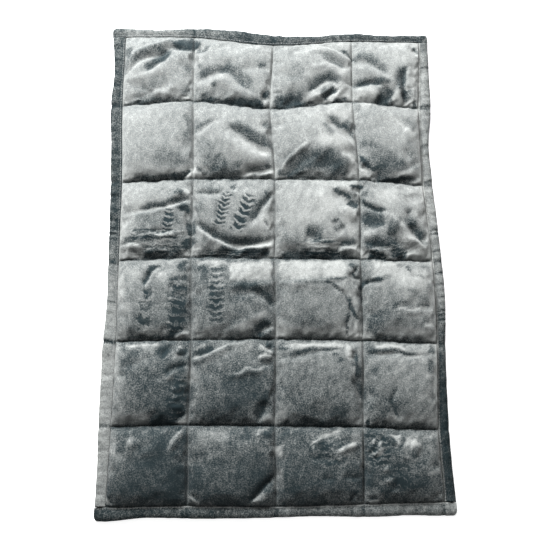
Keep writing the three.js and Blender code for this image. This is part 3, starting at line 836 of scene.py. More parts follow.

# %% [markdown]
# ## Plush finish
# Crushed plush is dark or silver by the way its pile lies. Every point of the cover gets a lean from 0 to 1,
# stored on the mesh, and the material turns lean into colour. That keeps the brushed look fixed to the cloth.
# The lean also carries painted light and shade: painted shade in troughs, at seams and on slopes turned from
# the lamp, and painted highlights on ridges. A noise alone would give clouds everywhere, so the marks that
# hands and folds have left are placed one by one, as strokes like those of the folds, and so are the painted
# shade and highlights of the folds.

# %% Marks on the first row
# Each mark: width, change of lean, path. Below zero it darkens, above zero it lightens. Some marks are the
# pile's own dark and silver patches; others are painted shade in troughs and at seams and painted highlights
# on ridges.
PILE_AND_PAINTED_MARKS = [
    (5, -0.2, (1.1, 1.33), (1.2, 1.24), (1.35, 1.17), (1.5, 1.13), (1.6, 1.09)),
    (8, -0.9, (1.68, 1.04), (1.8, 1.09), (1.92, 1.11), (2.02, 1.09), (2.09, 1.03)),
    (3, 0.12, (1.02, 1.6), (1.05, 1.35), (1.13, 1.16)),
    (3, 0.12, (1.1, 1.42), (1.25, 1.31), (1.4, 1.24), (1.53, 1.2)),
    (5.5, -0.35, (1.3, 1.43), (1.45, 1.33), (1.58, 1.24), (1.64, 1.18)),
    (7, -0.45, (1.56, 1.3), (1.62, 1.22), (1.68, 1.14)),
    (8, -0.15, (1.15, 1.88), (1.35, 1.86), (1.5, 1.84)),
    (6, -0.1, (1.15, 1.72), (1.35, 1.66), (1.55, 1.6), (1.65, 1.52)),
    (4, -0.25, (1.02, 1.55), (1.07, 1.3), (1.11, 1.18)),
    (6, -0.22, (1.05, 1.22), (1.1, 1.11)),
    (5, -0.15, (1.85, 1.4), (1.95, 1.48)),
    (5, -0.18, (1.85, 1.82), (1.97, 1.75)),
    (2, -0.3, (1.05, 1.97), (1.5, 1.95), (1.85, 1.97)),
    (6, 0.08, (1.2, 1.52), (1.6, 1.42)),
    (2, 0.35, (1.85, 1.87), (1.92, 1.91), (1.98, 1.96)),
    (5, -0.28, (2.05, 1.57), (2.2, 1.45), (2.35, 1.4), (2.48, 1.4)),
    (8, -0.26, (2.36, 1.37), (2.47, 1.38), (2.6, 1.5), (2.75, 1.62)),
    (3.5, -0.35, (2.24, 1.62), (2.28, 1.66)),
    (4, -0.5, (2.4, 1.93), (2.6, 1.88), (2.75, 1.87), (2.93, 1.92)),
    (5, -0.8, (2.9, 1.68), (2.96, 1.75)),
    (2.2, -0.3, (2.82, 1.27), (2.93, 1.27)),
    (3, 0.2, (2.94, 1.83), (2.96, 1.95)),
    (6, -0.3, (2.8, 1.9), (2.92, 1.88)),
    (2.5, -0.3, (2.08, 1.97), (2.5, 1.96), (2.85, 1.97)),
    (3, -0.2, (2.02, 1.2), (2.14, 1.16), (2.22, 1.08)),
    (6, -0.14, (2.07, 1.4), (2.12, 1.34)),
    (5, -0.3, (2.08, 1.92), (2.25, 1.91)),
    (2, -0.6, (3.84, 1.1), (3.93, 1.17), (3.99, 1.25), (4.08, 1.28)),
    (6, -0.2, (3.62, 1.15), (3.75, 1.25), (3.9, 1.35)),
    (5.5, -0.4, (3.45, 1.66), (3.55, 1.58), (3.68, 1.5), (3.78, 1.52), (3.83, 1.6)),
    (7, 0.2, (3.8, 1.42), (3.95, 1.5)),
    (12, 0.25, (4.05, 1.8), (4.2, 1.78), (4.35, 1.8)),
    (6, -0.5, (3.64, 1.82), (3.72, 1.73), (3.82, 1.68)),
    (3, 0.2, (3.66, 1.72), (3.75, 1.62)),
    (2, 0.3, (3.69, 1.98), (3.76, 1.85), (3.83, 1.75)),
    (8, -0.75, (3.05, 1.95), (3.15, 1.85), (3.3, 1.83), (3.42, 1.86)),
    (6, -0.18, (3.2, 1.72), (3.45, 1.72)),
    (2.5, -0.3, (3.2, 1.97), (3.4, 1.97), (3.55, 1.97)),
    (3, -0.4, (3.75, 1.95), (3.95, 1.93)),
    (13, -0.1, (3.2, 1.4), (3.42, 1.45)),
    (5, -0.25, (4.05, 1.22), (4.2, 1.2), (4.35, 1.3), (4.52, 1.42)),
    (4, -0.45, (4.02, 1.67), (4.2, 1.6), (4.35, 1.57), (4.58, 1.54)),
    (8, -0.45, (4.35, 1.95), (4.45, 1.85), (4.55, 1.72), (4.62, 1.65)),
    (6, -0.6, (4.8, 1.28), (4.77, 1.43), (4.76, 1.63), (4.78, 1.85)),
    (8, 0.25, (4.92, 1.35), (4.93, 1.7)),
    (10, 0.42, (4.1, 1.91), (4.3, 1.88)),
    (5, -0.4, (4.32, 1.95), (4.5, 1.9), (4.62, 1.93)),
    (5, -0.5, (4.9, 1.97), (4.97, 1.9)),
    (7, 0.1, (4.1, 1.76), (4.3, 1.7)),
    (3, 0.18, (4.67, 1.78), (4.72, 1.97)),
    (2.2, -0.4, (4.88, 1.05), (4.98, 1.15)),
]
print("marks so far:", len(PILE_AND_PAINTED_MARKS))

# %% Marks on the second row
PILE_AND_PAINTED_MARKS += [
    (7, -0.13, (1.85, 2.1), (1.95, 2.3), (1.93, 2.5)),
    (14, -0.14, (1.4, 2.6), (1.75, 2.7), (1.9, 2.62)),
    (7, -0.12, (1.1, 2.85), (1.5, 2.91), (1.8, 2.89)),
    (1.8, -0.4, (1.08, 2.95), (1.5, 2.97), (1.8, 2.95)),
    (12, 0.05, (1.15, 2.1), (1.6, 2.15)),
    (3, -0.7, (1.7, 2.97), (1.86, 2.93), (1.99, 2.87)),
    (3.5, 0.3, (1.92, 2.98), (1.98, 2.92)),
    (4, 0.2, (2.03, 2.82), (2.06, 2.92)),
    (2.5, -0.35, (2.03, 2.79), (2.1, 2.85), (2.16, 2.93)),
    (3, -0.18, (2.02, 2.33), (2.15, 2.26), (2.28, 2.18)),
    (6.5, -0.36, (2.45, 2.22), (2.65, 2.3), (2.8, 2.4), (3.02, 2.53)),
    (6, -0.25, (2.88, 2.17), (2.97, 2.25)),
    (12, 0.19, (2.5, 2.42), (2.75, 2.56), (2.95, 2.66)),
    (9, -0.25, (2.1, 2.72), (2.3, 2.75), (2.45, 2.72)),
    (8, -0.35, (2.15, 2.92), (2.4, 2.86), (2.6, 2.88)),
    (3.5, -0.3, (2.29, 2.64), (2.32, 2.66)),
    (5, -0.22, (2.56, 2.78), (2.6, 2.7)),
    (14, -0.1, (2.08, 2.6), (2.3, 2.45)),
    (3.5, -0.32, (2.65, 2.82), (2.8, 2.8), (2.97, 2.8)),
    (3, 0.22, (2.75, 2.93), (2.95, 2.9)),
    (3, -0.3, (2.7, 2.97), (2.97, 2.97)),
    (13, -0.32, (3.15, 2.86), (3.4, 2.7), (3.7, 2.7), (3.88, 2.86)),
    (12, -0.14, (3.2, 2.85), (3.4, 2.74), (3.6, 2.76), (3.8, 2.85)),
    (7, -0.18, (3.48, 2.6), (3.72, 2.64)),
    (9, -0.24, (3.65, 2.8), (3.86, 2.87)),
    (4, -0.24, (3.1, 2.94), (3.4, 2.97), (3.8, 2.97)),
    (4, -0.45, (3.68, 2.12), (3.78, 2.22), (3.9, 2.3), (3.98, 2.43)),
    (6, -0.28, (3.85, 2.2), (3.97, 2.32)),
    (2.5, -0.16, (3.6, 2.2), (3.72, 2.38)),
    (2.2, 0.14, (3.06, 2.87), (3.15, 2.7), (3.3, 2.53), (3.48, 2.42)),
    (5, 0.12, (3.75, 2.42), (3.95, 2.62)),
    (7, 0.5, (3.82, 2.58), (3.93, 2.7), (3.97, 2.9)),
    (12, 0.26, (3.5, 2.44), (3.9, 2.48)),
    (3, -0.3, (3.02, 2.87), (3.2, 2.95)),
    (2.4, -1.2, (4, 2.7), (4.1, 2.74), (4.2, 2.78), (4.3, 2.76), (4.42, 2.7)),
    (6, 0.22, (4.03, 2.86), (4.15, 2.86)),
    (9, -0.26, (4.25, 2.86), (4.4, 2.8), (4.55, 2.73), (4.8, 2.7)),
    (4, -0.3, (4.2, 2.98), (4.4, 2.92), (4.7, 2.91), (4.95, 2.87)),
    (2, 0.24, (4.3, 2.94), (4.6, 2.86), (4.85, 2.78)),
    (5, -0.16, (4.03, 2.5), (4.2, 2.48), (4.35, 2.5)),
    (10, -0.2, (4.2, 2.68), (4.35, 2.65), (4.6, 2.68)),
    (6, 0.12, (4.05, 2.64), (4.18, 2.66)),
    (4, -0.2, (4.1, 2.72), (4.2, 2.68)),
    (8, -0.1, (4.74, 2.38), (4.8, 2.56)),
    (3, -0.3, (4.3, 2.8), (4.4, 2.76), (4.48, 2.7)),
    (2.2, -0.6, (4.35, 2.97), (4.6, 2.93), (4.88, 2.84)),
    (9, -0.1, (4.8, 2.5), (4.88, 2.75)),
    (8, -0.14, (4.72, 2.12), (4.9, 2.25)),
    (2.5, 0.14, (4.6, 2.12), (4.75, 2.23), (4.93, 2.36)),
]
print("marks so far:", len(PILE_AND_PAINTED_MARKS))

# %% Marks on the third row
PILE_AND_PAINTED_MARKS += [
    (12, 0.08, (1.05, 3.12), (1.5, 3.11)),
    (7, 0.12, (1.15, 3.26), (1.5, 3.24)),
    (5, 0.2, (1.45, 3.71), (1.7, 3.7)),
    (3.2, -0.42, (1.3, 3.31), (1.65, 3.26), (1.97, 3.21)),
    (1.5, 0.25, (1.12, 3.36), (1.5, 3.32), (1.82, 3.29)),
    (4, -0.4, (1.75, 3.13), (1.85, 3.17)),
    (2.5, 0.22, (1.78, 3.1), (1.9, 3.12), (1.98, 3.18)),
    (5, -1, (1.8, 3.33), (1.9, 3.35), (1.98, 3.38)),
    (5, -0.8, (1.95, 3.5), (1.97, 3.68)),
    (8, -0.75, (1.87, 3.72), (1.95, 3.85)),
    (2.5, -0.35, (1.2, 3.59), (1.45, 3.62), (1.75, 3.61)),
    (2, -0.25, (1.1, 3.7), (1.3, 3.69), (1.5, 3.72)),
    (4, -0.12, (1.12, 3.83), (1.3, 3.86)),
    (12, -0.14, (1.2, 3.48), (1.9, 3.48)),
    (5, 0.2, (1.04, 3.5), (1.04, 3.72)),
    (2.2, 0.35, (1.42, 3.64), (1.6, 3.66), (1.75, 3.65)),
    (2.8, -0.28, (1.3, 3.69), (1.5, 3.69), (1.85, 3.72)),
    (8, -0.42, (1.3, 3.88), (1.6, 3.91), (1.93, 3.88)),
    (1.8, 0.4, (1.35, 3.85), (1.55, 3.86)),
    (1.6, 0.4, (1.6, 3.87), (1.78, 3.875)),
    (1.8, 0.25, (1.2, 3.82), (1.45, 3.85), (1.7, 3.86)),
    (2.2, -0.4, (1.08, 3.73), (1.25, 3.72)),
    (2, 0.3, (1.12, 3.78), (1.3, 3.79)),
    (4, -0.22, (2.05, 3.12), (2.25, 3.14), (2.35, 3.1)),
    (4, -0.5, (2.48, 3.09), (2.53, 3.09)),
    (8, -0.12, (2.05, 3.25), (2.08, 3.4)),
    (5, -0.38, (2.68, 3.5), (2.8, 3.35), (2.9, 3.22), (2.98, 3.12)),
    (10, 0.22, (2.8, 3.62), (2.92, 3.4)),
    (1.8, -0.25, (2.85, 3.47), (2.92, 3.57)),
    (5, -0.45, (2.05, 3.5), (2.15, 3.58), (2.3, 3.68), (2.5, 3.74), (2.75, 3.74), (2.97, 3.7)),
    (2, 0.35, (2.08, 3.58), (2.2, 3.67), (2.35, 3.75), (2.5, 3.8)),
    (6, 0.5, (2.5, 3.84), (2.75, 3.82), (2.95, 3.79)),
    (4, -0.45, (2.3, 3.85), (2.6, 3.88), (2.85, 3.88)),
    (5, -0.36, (2.05, 3.95), (2.4, 3.96), (2.8, 3.96), (2.97, 3.9)),
    (1.8, 0.28, (2.12, 3.94), (2.3, 3.92)),
    (6, -0.4, (2.83, 3.92), (2.94, 3.86)),
    (1.8, 0.28, (2.45, 3.91), (2.7, 3.91)),
    (8, -0.12, (2.1, 3.75), (2.25, 3.85)),
    (6, -0.06, (1.71, 3.36), (1.67, 3.58)),
    (7.5, -0.09, (2.42, 3.15), (2.37, 3.36), (2.33, 3.57)),
    (8, -0.08, (2.7, 3.2), (2.62, 3.42), (2.54, 3.62)),
    (16, 0.06, (3.1, 3.22), (3.6, 3.22)),
    (14, 0.2, (3.1, 3.48), (3.58, 3.46)),
    (11, 0.28, (3.52, 3.22), (3.64, 3.26), (3.74, 3.34)),
    (3, -0.6, (3.68, 3.08), (3.78, 3.15), (3.9, 3.19)),
    (5.5, -0.8, (3.85, 3.22), (3.9, 3.28), (3.95, 3.33)),
    (9, 0.55, (3.83, 3.39), (3.95, 3.48)),
    (6, -0.25, (3.85, 3.2), (3.96, 3.14)),
    (7, 0.2, (3.85, 3.58), (3.95, 3.62)),
    (2, -1.8, (3.87, 3.07), (3.96, 3.085), (4.06, 3.06)),
    (2.5, 0.35, (3.74, 3.09), (3.86, 3.13), (3.95, 3.17)),
    (2.8, -0.4, (3.65, 3.5), (3.75, 3.48)),
    (5, -0.18, (3.7, 3.62), (3.82, 3.52)),
    (7, -0.42, (3.34, 3.6), (3.44, 3.63), (3.56, 3.67)),
    (8, -0.06, (3.08, 3.7), (3.3, 3.78)),
    (5, -0.6, (3.06, 3.94), (3.4, 3.93), (3.85, 3.93)),
    (2, -0.3, (3.4, 3.73), (3.7, 3.76)),
    (2, 0.4, (3.4, 3.86), (3.65, 3.865)),
    (3, 0.35, (3.08, 3.85), (3.2, 3.87)),
    (2.4, 0.35, (3.33, 3.78), (3.55, 3.8), (3.75, 3.79)),
    (4, -0.42, (3.75, 3.78), (3.95, 3.75)),
    (3, 0.15, (3.8, 3.85), (3.95, 3.85)),
    (5, 0.6, (3.95, 3.84), (4.03, 3.9), (4.09, 3.97)),
    (6, -0.25, (3.78, 3.92), (3.92, 3.93)),
    (2.2, -0.9, (3.99, 3.23), (4.12, 3.28), (4.27, 3.33), (4.4, 3.34)),
    (6, -0.35, (4.1, 3.75), (4.35, 3.74), (4.55, 3.72)),
    (3, 0.3, (4.46, 3.38), (4.56, 3.48), (4.66, 3.6)),
    (4, -0.25, (4.08, 3.18), (4.12, 3.1)),
    (9, -0.55, (4.03, 3.47), (4.2, 3.48), (4.36, 3.46)),
    (7, -0.35, (4.03, 3.36), (4.06, 3.5)),
    (9, -0.22, (4.38, 3.5), (4.55, 3.54)),
    (7, -0.2, (4.62, 3.42), (4.75, 3.5)),
    (10, 0.85, (4.85, 3.84), (4.93, 3.93)),
    (5, 0.22, (4.03, 3.63), (4.27, 3.63)),
    (5, -0.32, (4.35, 3.6), (4.5, 3.62)),
    (5, -0.52, (4.68, 3.45), (4.78, 3.58), (4.88, 3.68)),
    (2.5, -0.24, (4.7, 3.38), (4.75, 3.3)),
    (5, -0.42, (4.05, 3.8), (4.2, 3.78), (4.35, 3.75)),
    (6, -0.5, (4.1, 3.92), (4.35, 3.93)),
    (6.5, -0.5, (4.42, 3.86), (4.52, 3.87), (4.63, 3.93)),
    (5.5, 1.1, (4.6, 3.63), (4.7, 3.67), (4.8, 3.72), (4.86, 3.82), (4.92, 3.93)),
    (3, 0.35, (4.62, 3.9), (4.72, 3.87), (4.82, 3.9)),
    (2, 0.4, (4.13, 3.82), (4.25, 3.83), (4.38, 3.9)),
    (14, 0.22, (4.2, 3.2), (4.6, 3.15)),
]
print("marks so far:", len(PILE_AND_PAINTED_MARKS))

# %% Marks on the fourth row
PILE_AND_PAINTED_MARKS += [
    (16, 0.12, (1.04, 4.2), (1.2, 4.18), (1.33, 4.16)),
    (7, -0.4, (1.82, 4.12), (1.96, 4.1)),
    (8, 0.3, (1.55, 4.22), (1.66, 4.17)),
    (1.8, 0.2, (1.52, 4.28), (1.6, 4.14)),
    (5, -0.24, (1.36, 4.41), (1.44, 4.42)),
    (3, -0.35, (1.74, 4.27), (1.84, 4.22), (1.97, 4.24)),
    (4, -0.6, (1.75, 4.36), (1.97, 4.37)),
    (3, -0.35, (1.72, 4.52), (1.8, 4.51)),
    (6, -0.3, (1.75, 4.62), (1.95, 4.58)),
    (7, -0.3, (1.72, 4.75), (1.95, 4.72)),
    (5, -0.5, (1.7, 4.88), (1.75, 4.94)),
    (2.2, 0.3, (1.7, 4.46), (1.82, 4.48)),
    (2.8, -0.9, (1.58, 4.07), (1.47, 4.11), (1.42, 4.19), (1.38, 4.27)),
    (1.8, 0.35, (1.38, 4.31), (1.46, 4.22)),
    (11, 0.28, (1.04, 4.15), (1.07, 4.5), (1.05, 4.9)),
    (10, -0.08, (1.12, 4.82), (1.4, 4.88)),
    (8, -0.3, (1.7, 4.87), (1.9, 4.8)),
    (10, -0.2, (1.8, 4.4), (1.85, 4.7)),
    (2.2, -0.35, (1.1, 4.96), (1.5, 4.97), (1.75, 4.96)),
    (4, 0.22, (1.85, 4.92), (1.97, 4.9)),
    (3, -0.42, (1.85, 4.1), (1.97, 4.03)),
    (2, 0.3, (1.88, 4.1), (1.94, 4.05)),
    (5, -0.3, (2.08, 4.1), (2.2, 4.15)),
    (4, -0.2, (2.1, 4.2), (2.2, 4.22)),
    (4, 0.5, (2.03, 4.05), (2.25, 4.05), (2.45, 4.05)),
    (2.4, 0.6, (2.22, 4.27), (2.4, 4.24)),
    (2.4, 0.55, (2.24, 4.19), (2.36, 4.17)),
    (2.4, 0.55, (2.28, 4.33), (2.42, 4.31)),
    (14, -0.1, (2.15, 4.45), (2.35, 4.52)),
    (1.8, 0.3, (2.25, 4.1), (2.36, 4.07)),
    (4.5, -0.42, (2.5, 4.34), (2.75, 4.34), (2.88, 4.42), (2.96, 4.55)),
    (10, -0.14, (2.48, 4.42), (2.7, 4.46)),
    (5, 0.14, (2.55, 4.52), (2.75, 4.42)),
    (6, 0.38, (2.5, 4.85), (2.7, 4.74), (2.9, 4.62)),
    (8, -0.1, (2.5, 4.68), (2.65, 4.65)),
    (4, -0.6, (2.76, 4.85), (2.85, 4.79), (2.94, 4.75)),
    (4, -0.5, (2.78, 4.88), (2.82, 4.97)),
    (8, -0.12, (2.3, 4.86), (2.6, 4.9)),
    (6, -0.3, (2.7, 4.93), (2.95, 4.93)),
    (3.5, 0.2, (2.03, 4.55), (2.08, 4.9)),
    (1.6, -0.42, (3.6, 4.24), (3.85, 4.22)),
    (1.3, -0.2, (3.18, 4.27), (3.55, 4.265)),
    (1.3, -0.6, (3.55, 4.26), (3.68, 4.32), (3.79, 4.39)),
    (2, -0.75, (3.79, 4.39), (3.83, 4.5), (3.87, 4.6), (3.9, 4.67), (3.97, 4.74)),
    (5, 0.35, (3.91, 4.36), (3.94, 4.55)),
    (1.5, -0.45, (3.85, 4.62), (3.81, 4.76), (3.82, 4.97)),
    (4.5, 0.7, (3.9, 4.91), (3.98, 4.93)),
    (6, 0.25, (3.9, 4.78), (3.95, 4.8)),
    (5, -0.26, (3.85, 4.05), (3.95, 4.12)),
    (2, -0.6, (3.87, 4.14), (3.92, 4.19), (3.98, 4.22)),
    (3, -0.2, (3.1, 4.93), (3.5, 4.95), (3.8, 4.93)),
    (12, -0.1, (3.2, 4.75), (3.7, 4.78)),
    (12, 0.12, (4.5, 4.12), (4.9, 4.2)),
    (2.6, -0.8, (3.99, 4.36), (4.03, 4.28), (4.09, 4.245), (4.18, 4.23), (4.31, 4.215)),
    (8, 0.12, (4.06, 4.45), (4.12, 4.55)),
    (14, 0.16, (4.48, 4.12), (4.65, 4.25), (4.88, 4.38)),
    (10, 0.15, (4.8, 4.1), (4.92, 4.3)),
    (1.2, -0.55, (4, 4.3), (3.99, 4.55)),
    (16, -0.14, (4.15, 4.55), (4.3, 4.7)),
    (10, -0.12, (4.08, 4.8), (4.3, 4.76)),
    (2.2, -0.38, (4.6, 4.05), (4.66, 4.12)),
    (2.2, -0.22, (4.75, 4.15), (4.85, 4.2)),
    (1.5, 0.5, (4.42, 4.59), (4.53, 4.55), (4.63, 4.58), (4.72, 4.55), (4.83, 4.53)),
    (2.3, -0.22, (4.38, 4.55), (4.5, 4.49), (4.6, 4.46)),
    (3, -0.16, (4.6, 4.31), (4.75, 4.4), (4.9, 4.46)),
    (2.4, -0.2, (4.7, 4.5), (4.8, 4.51), (4.92, 4.52)),
    (2.6, -0.18, (4.78, 4.67), (4.9, 4.7)),
    (4, 0.25, (4.8, 4.75), (4.95, 4.73)),
    (3.5, -0.25, (4.1, 4.9), (4.5, 4.95), (4.9, 4.93)),
    (3, -0.3, (4.05, 4.83), (4.2, 4.88)),
]
print("marks so far:", len(PILE_AND_PAINTED_MARKS))

# %% Marks on the fifth row
PILE_AND_PAINTED_MARKS += [
    (13, 0.48, (1.04, 5.02), (1.06, 5.45), (1.05, 5.92)),
    (1.8, 0.5, (1.12, 5.05), (1.4, 5.045), (1.7, 5.05)),
    (6, 0.5, (1.35, 5.09), (1.6, 5.08)),
    (5, 0.2, (1.3, 5.25), (1.45, 5.22)),
    (10, 0.15, (1.08, 5.1), (1.3, 5.1)),
    (4, -0.25, (1.13, 5.25), (1.25, 5.15), (1.35, 5.12)),
    (12, -0.1, (1.15, 5.45), (1.6, 5.45)),
    (6, -0.6, (1.62, 5.18), (1.7, 5.1), (1.76, 5.04)),
    (5, -0.7, (1.9, 5.18), (1.93, 5.07)),
    (5, 0.55, (1.79, 5.24), (1.82, 5.15), (1.85, 5.05)),
    (2.5, -0.7, (1.65, 5.37), (1.8, 5.31), (1.97, 5.27)),
    (2.2, 0.22, (1.72, 5.42), (1.8, 5.38)),
    (7, -0.3, (1.83, 5.36), (1.95, 5.34)),
    (12, -0.42, (1.86, 5.42), (1.88, 5.65), (1.87, 5.92)),
    (1.6, -0.9, (1.85, 5.9), (1.92, 5.86), (1.97, 5.82)),
    (1.8, 0.45, (1.77, 5.56), (1.9, 5.54)),
    (1.8, 0.45, (1.77, 5.66), (1.87, 5.64)),
    (1.8, 0.45, (1.77, 5.77), (1.9, 5.75)),
    (8, -0.6, (1.5, 5.92), (1.65, 5.93), (1.88, 5.95)),
    (4, 0.6, (1.88, 5.97), (1.97, 5.95)),
    (4, -0.4, (1.5, 5.98), (1.75, 5.99)),
    (8, 0.1, (1.05, 5.86), (1.2, 5.8)),
    (2.2, 0.42, (2.01, 5.25), (2.07, 5.21), (2.2, 5.17), (2.36, 5.09), (2.5, 5.04)),
    (2, 0.5, (2.05, 5.13), (2.1, 5.07), (2.18, 5.04)),
    (8, 0.32, (2.45, 5.07), (2.75, 5.07)),
    (4, -0.6, (2.06, 5.16), (2.16, 5.12), (2.28, 5.07)),
    (11, 0.45, (2.06, 5.3), (2.1, 5.6), (2.06, 5.86)),
    (7, 0.2, (2.2, 5.35), (2.22, 5.55)),
    (17, -0.18, (2.4, 5.65), (2.7, 5.6), (2.88, 5.55)),
    (8, 0.12, (2.3, 5.22), (2.5, 5.15)),
    (2.2, 0.6, (2.35, 5.41), (2.55, 5.38), (2.66, 5.33), (2.75, 5.34), (2.95, 5.3)),
    (2, 0.75, (2.78, 5.21), (2.85, 5.17), (2.97, 5.2)),
    (2.2, 0.75, (2.82, 5.06), (2.87, 5.11), (2.97, 5.15)),
    (8, -0.16, (2.35, 5.47), (2.6, 5.45), (2.92, 5.38)),
    (4.5, -0.4, (2.9, 5.6), (2.88, 5.73), (2.81, 5.9)),
    (9, -0.24, (2.15, 5.88), (2.7, 5.88)),
    (5, -0.75, (2.87, 5.05), (2.97, 5.07)),
    (5, 0.5, (2.87, 5.94), (2.95, 5.84)),
    (5.2, 0.52, (3.05, 5.08), (3.4, 5.07), (3.8, 5.06)),
    (2.5, -0.42, (3.13, 5.2), (3.25, 5.15), (3.45, 5.11), (3.75, 5.09)),
    (2.5, 0.28, (3.05, 5.22), (3.12, 5.24)),
    (3, -0.4, (3.02, 5.1), (3.18, 5.1)),
    (2.5, -0.4, (3.66, 5.18), (3.71, 5.16)),
    (3, -0.35, (3.7, 5.25), (3.77, 5.22)),
    (9, -0.26, (3.62, 5.76), (3.75, 5.88)),
    (3.5, 0.65, (3.83, 5.03), (3.85, 5.14), (3.87, 5.24)),
    (4, -0.36, (3.92, 5.1), (3.92, 5.3), (3.93, 5.42)),
    (4, -0.36, (3.87, 5.42), (3.93, 5.52), (3.98, 5.65)),
    (1.8, 0.3, (3.86, 5.1), (3.9, 5.35), (3.96, 5.6), (3.98, 5.85)),
    (9, -0.2, (3.2, 5.88), (3.6, 5.88), (3.85, 5.83)),
    (3, -0.28, (3.05, 5.97), (3.5, 5.96), (3.9, 5.96)),
    (7, 0.42, (3.04, 5.88), (3.07, 5.73)),
    (4, 0.5, (4.13, 5.07), (4.35, 5.055), (4.57, 5.075)),
    (2.5, -0.42, (4.05, 5.12), (4.2, 5.1), (4.4, 5.09), (4.55, 5.12), (4.7, 5.11)),
    (4, -0.3, (4.02, 5.07), (4.1, 5.12)),
    (10, 0.16, (4.3, 5.25), (4.6, 5.2)),
    (5, -0.26, (4.85, 5.15), (4.88, 5.35)),
    (5, -0.35, (4.85, 5.06), (4.95, 5.09)),
    (9, 0.15, (4.9, 5.5), (4.92, 5.75)),
    (5, 0.3, (4.94, 5.15), (4.95, 5.45), (4.95, 5.7)),
    (2.2, -0.4, (4.45, 5.49), (4.39, 5.6), (4.37, 5.7), (4.42, 5.8), (4.48, 5.87)),
    (6, -0.2, (4.1, 5.85), (4.3, 5.9)),
    (3, -0.25, (4.05, 5.97), (4.5, 5.95), (4.95, 5.95)),
    (4, 0.2, (4.04, 5.6), (4.1, 5.7)),
    (4, -0.3, (4.05, 5.55), (4.13, 5.57)),
    (5, -0.6, (4.03, 5.94), (4.08, 5.97)),
    (4, -0.25, (4.12, 5.3), (4.16, 5.4)),
    (12, -0.12, (4.22, 5.6), (4.3, 5.78)),
]
print("marks so far:", len(PILE_AND_PAINTED_MARKS))

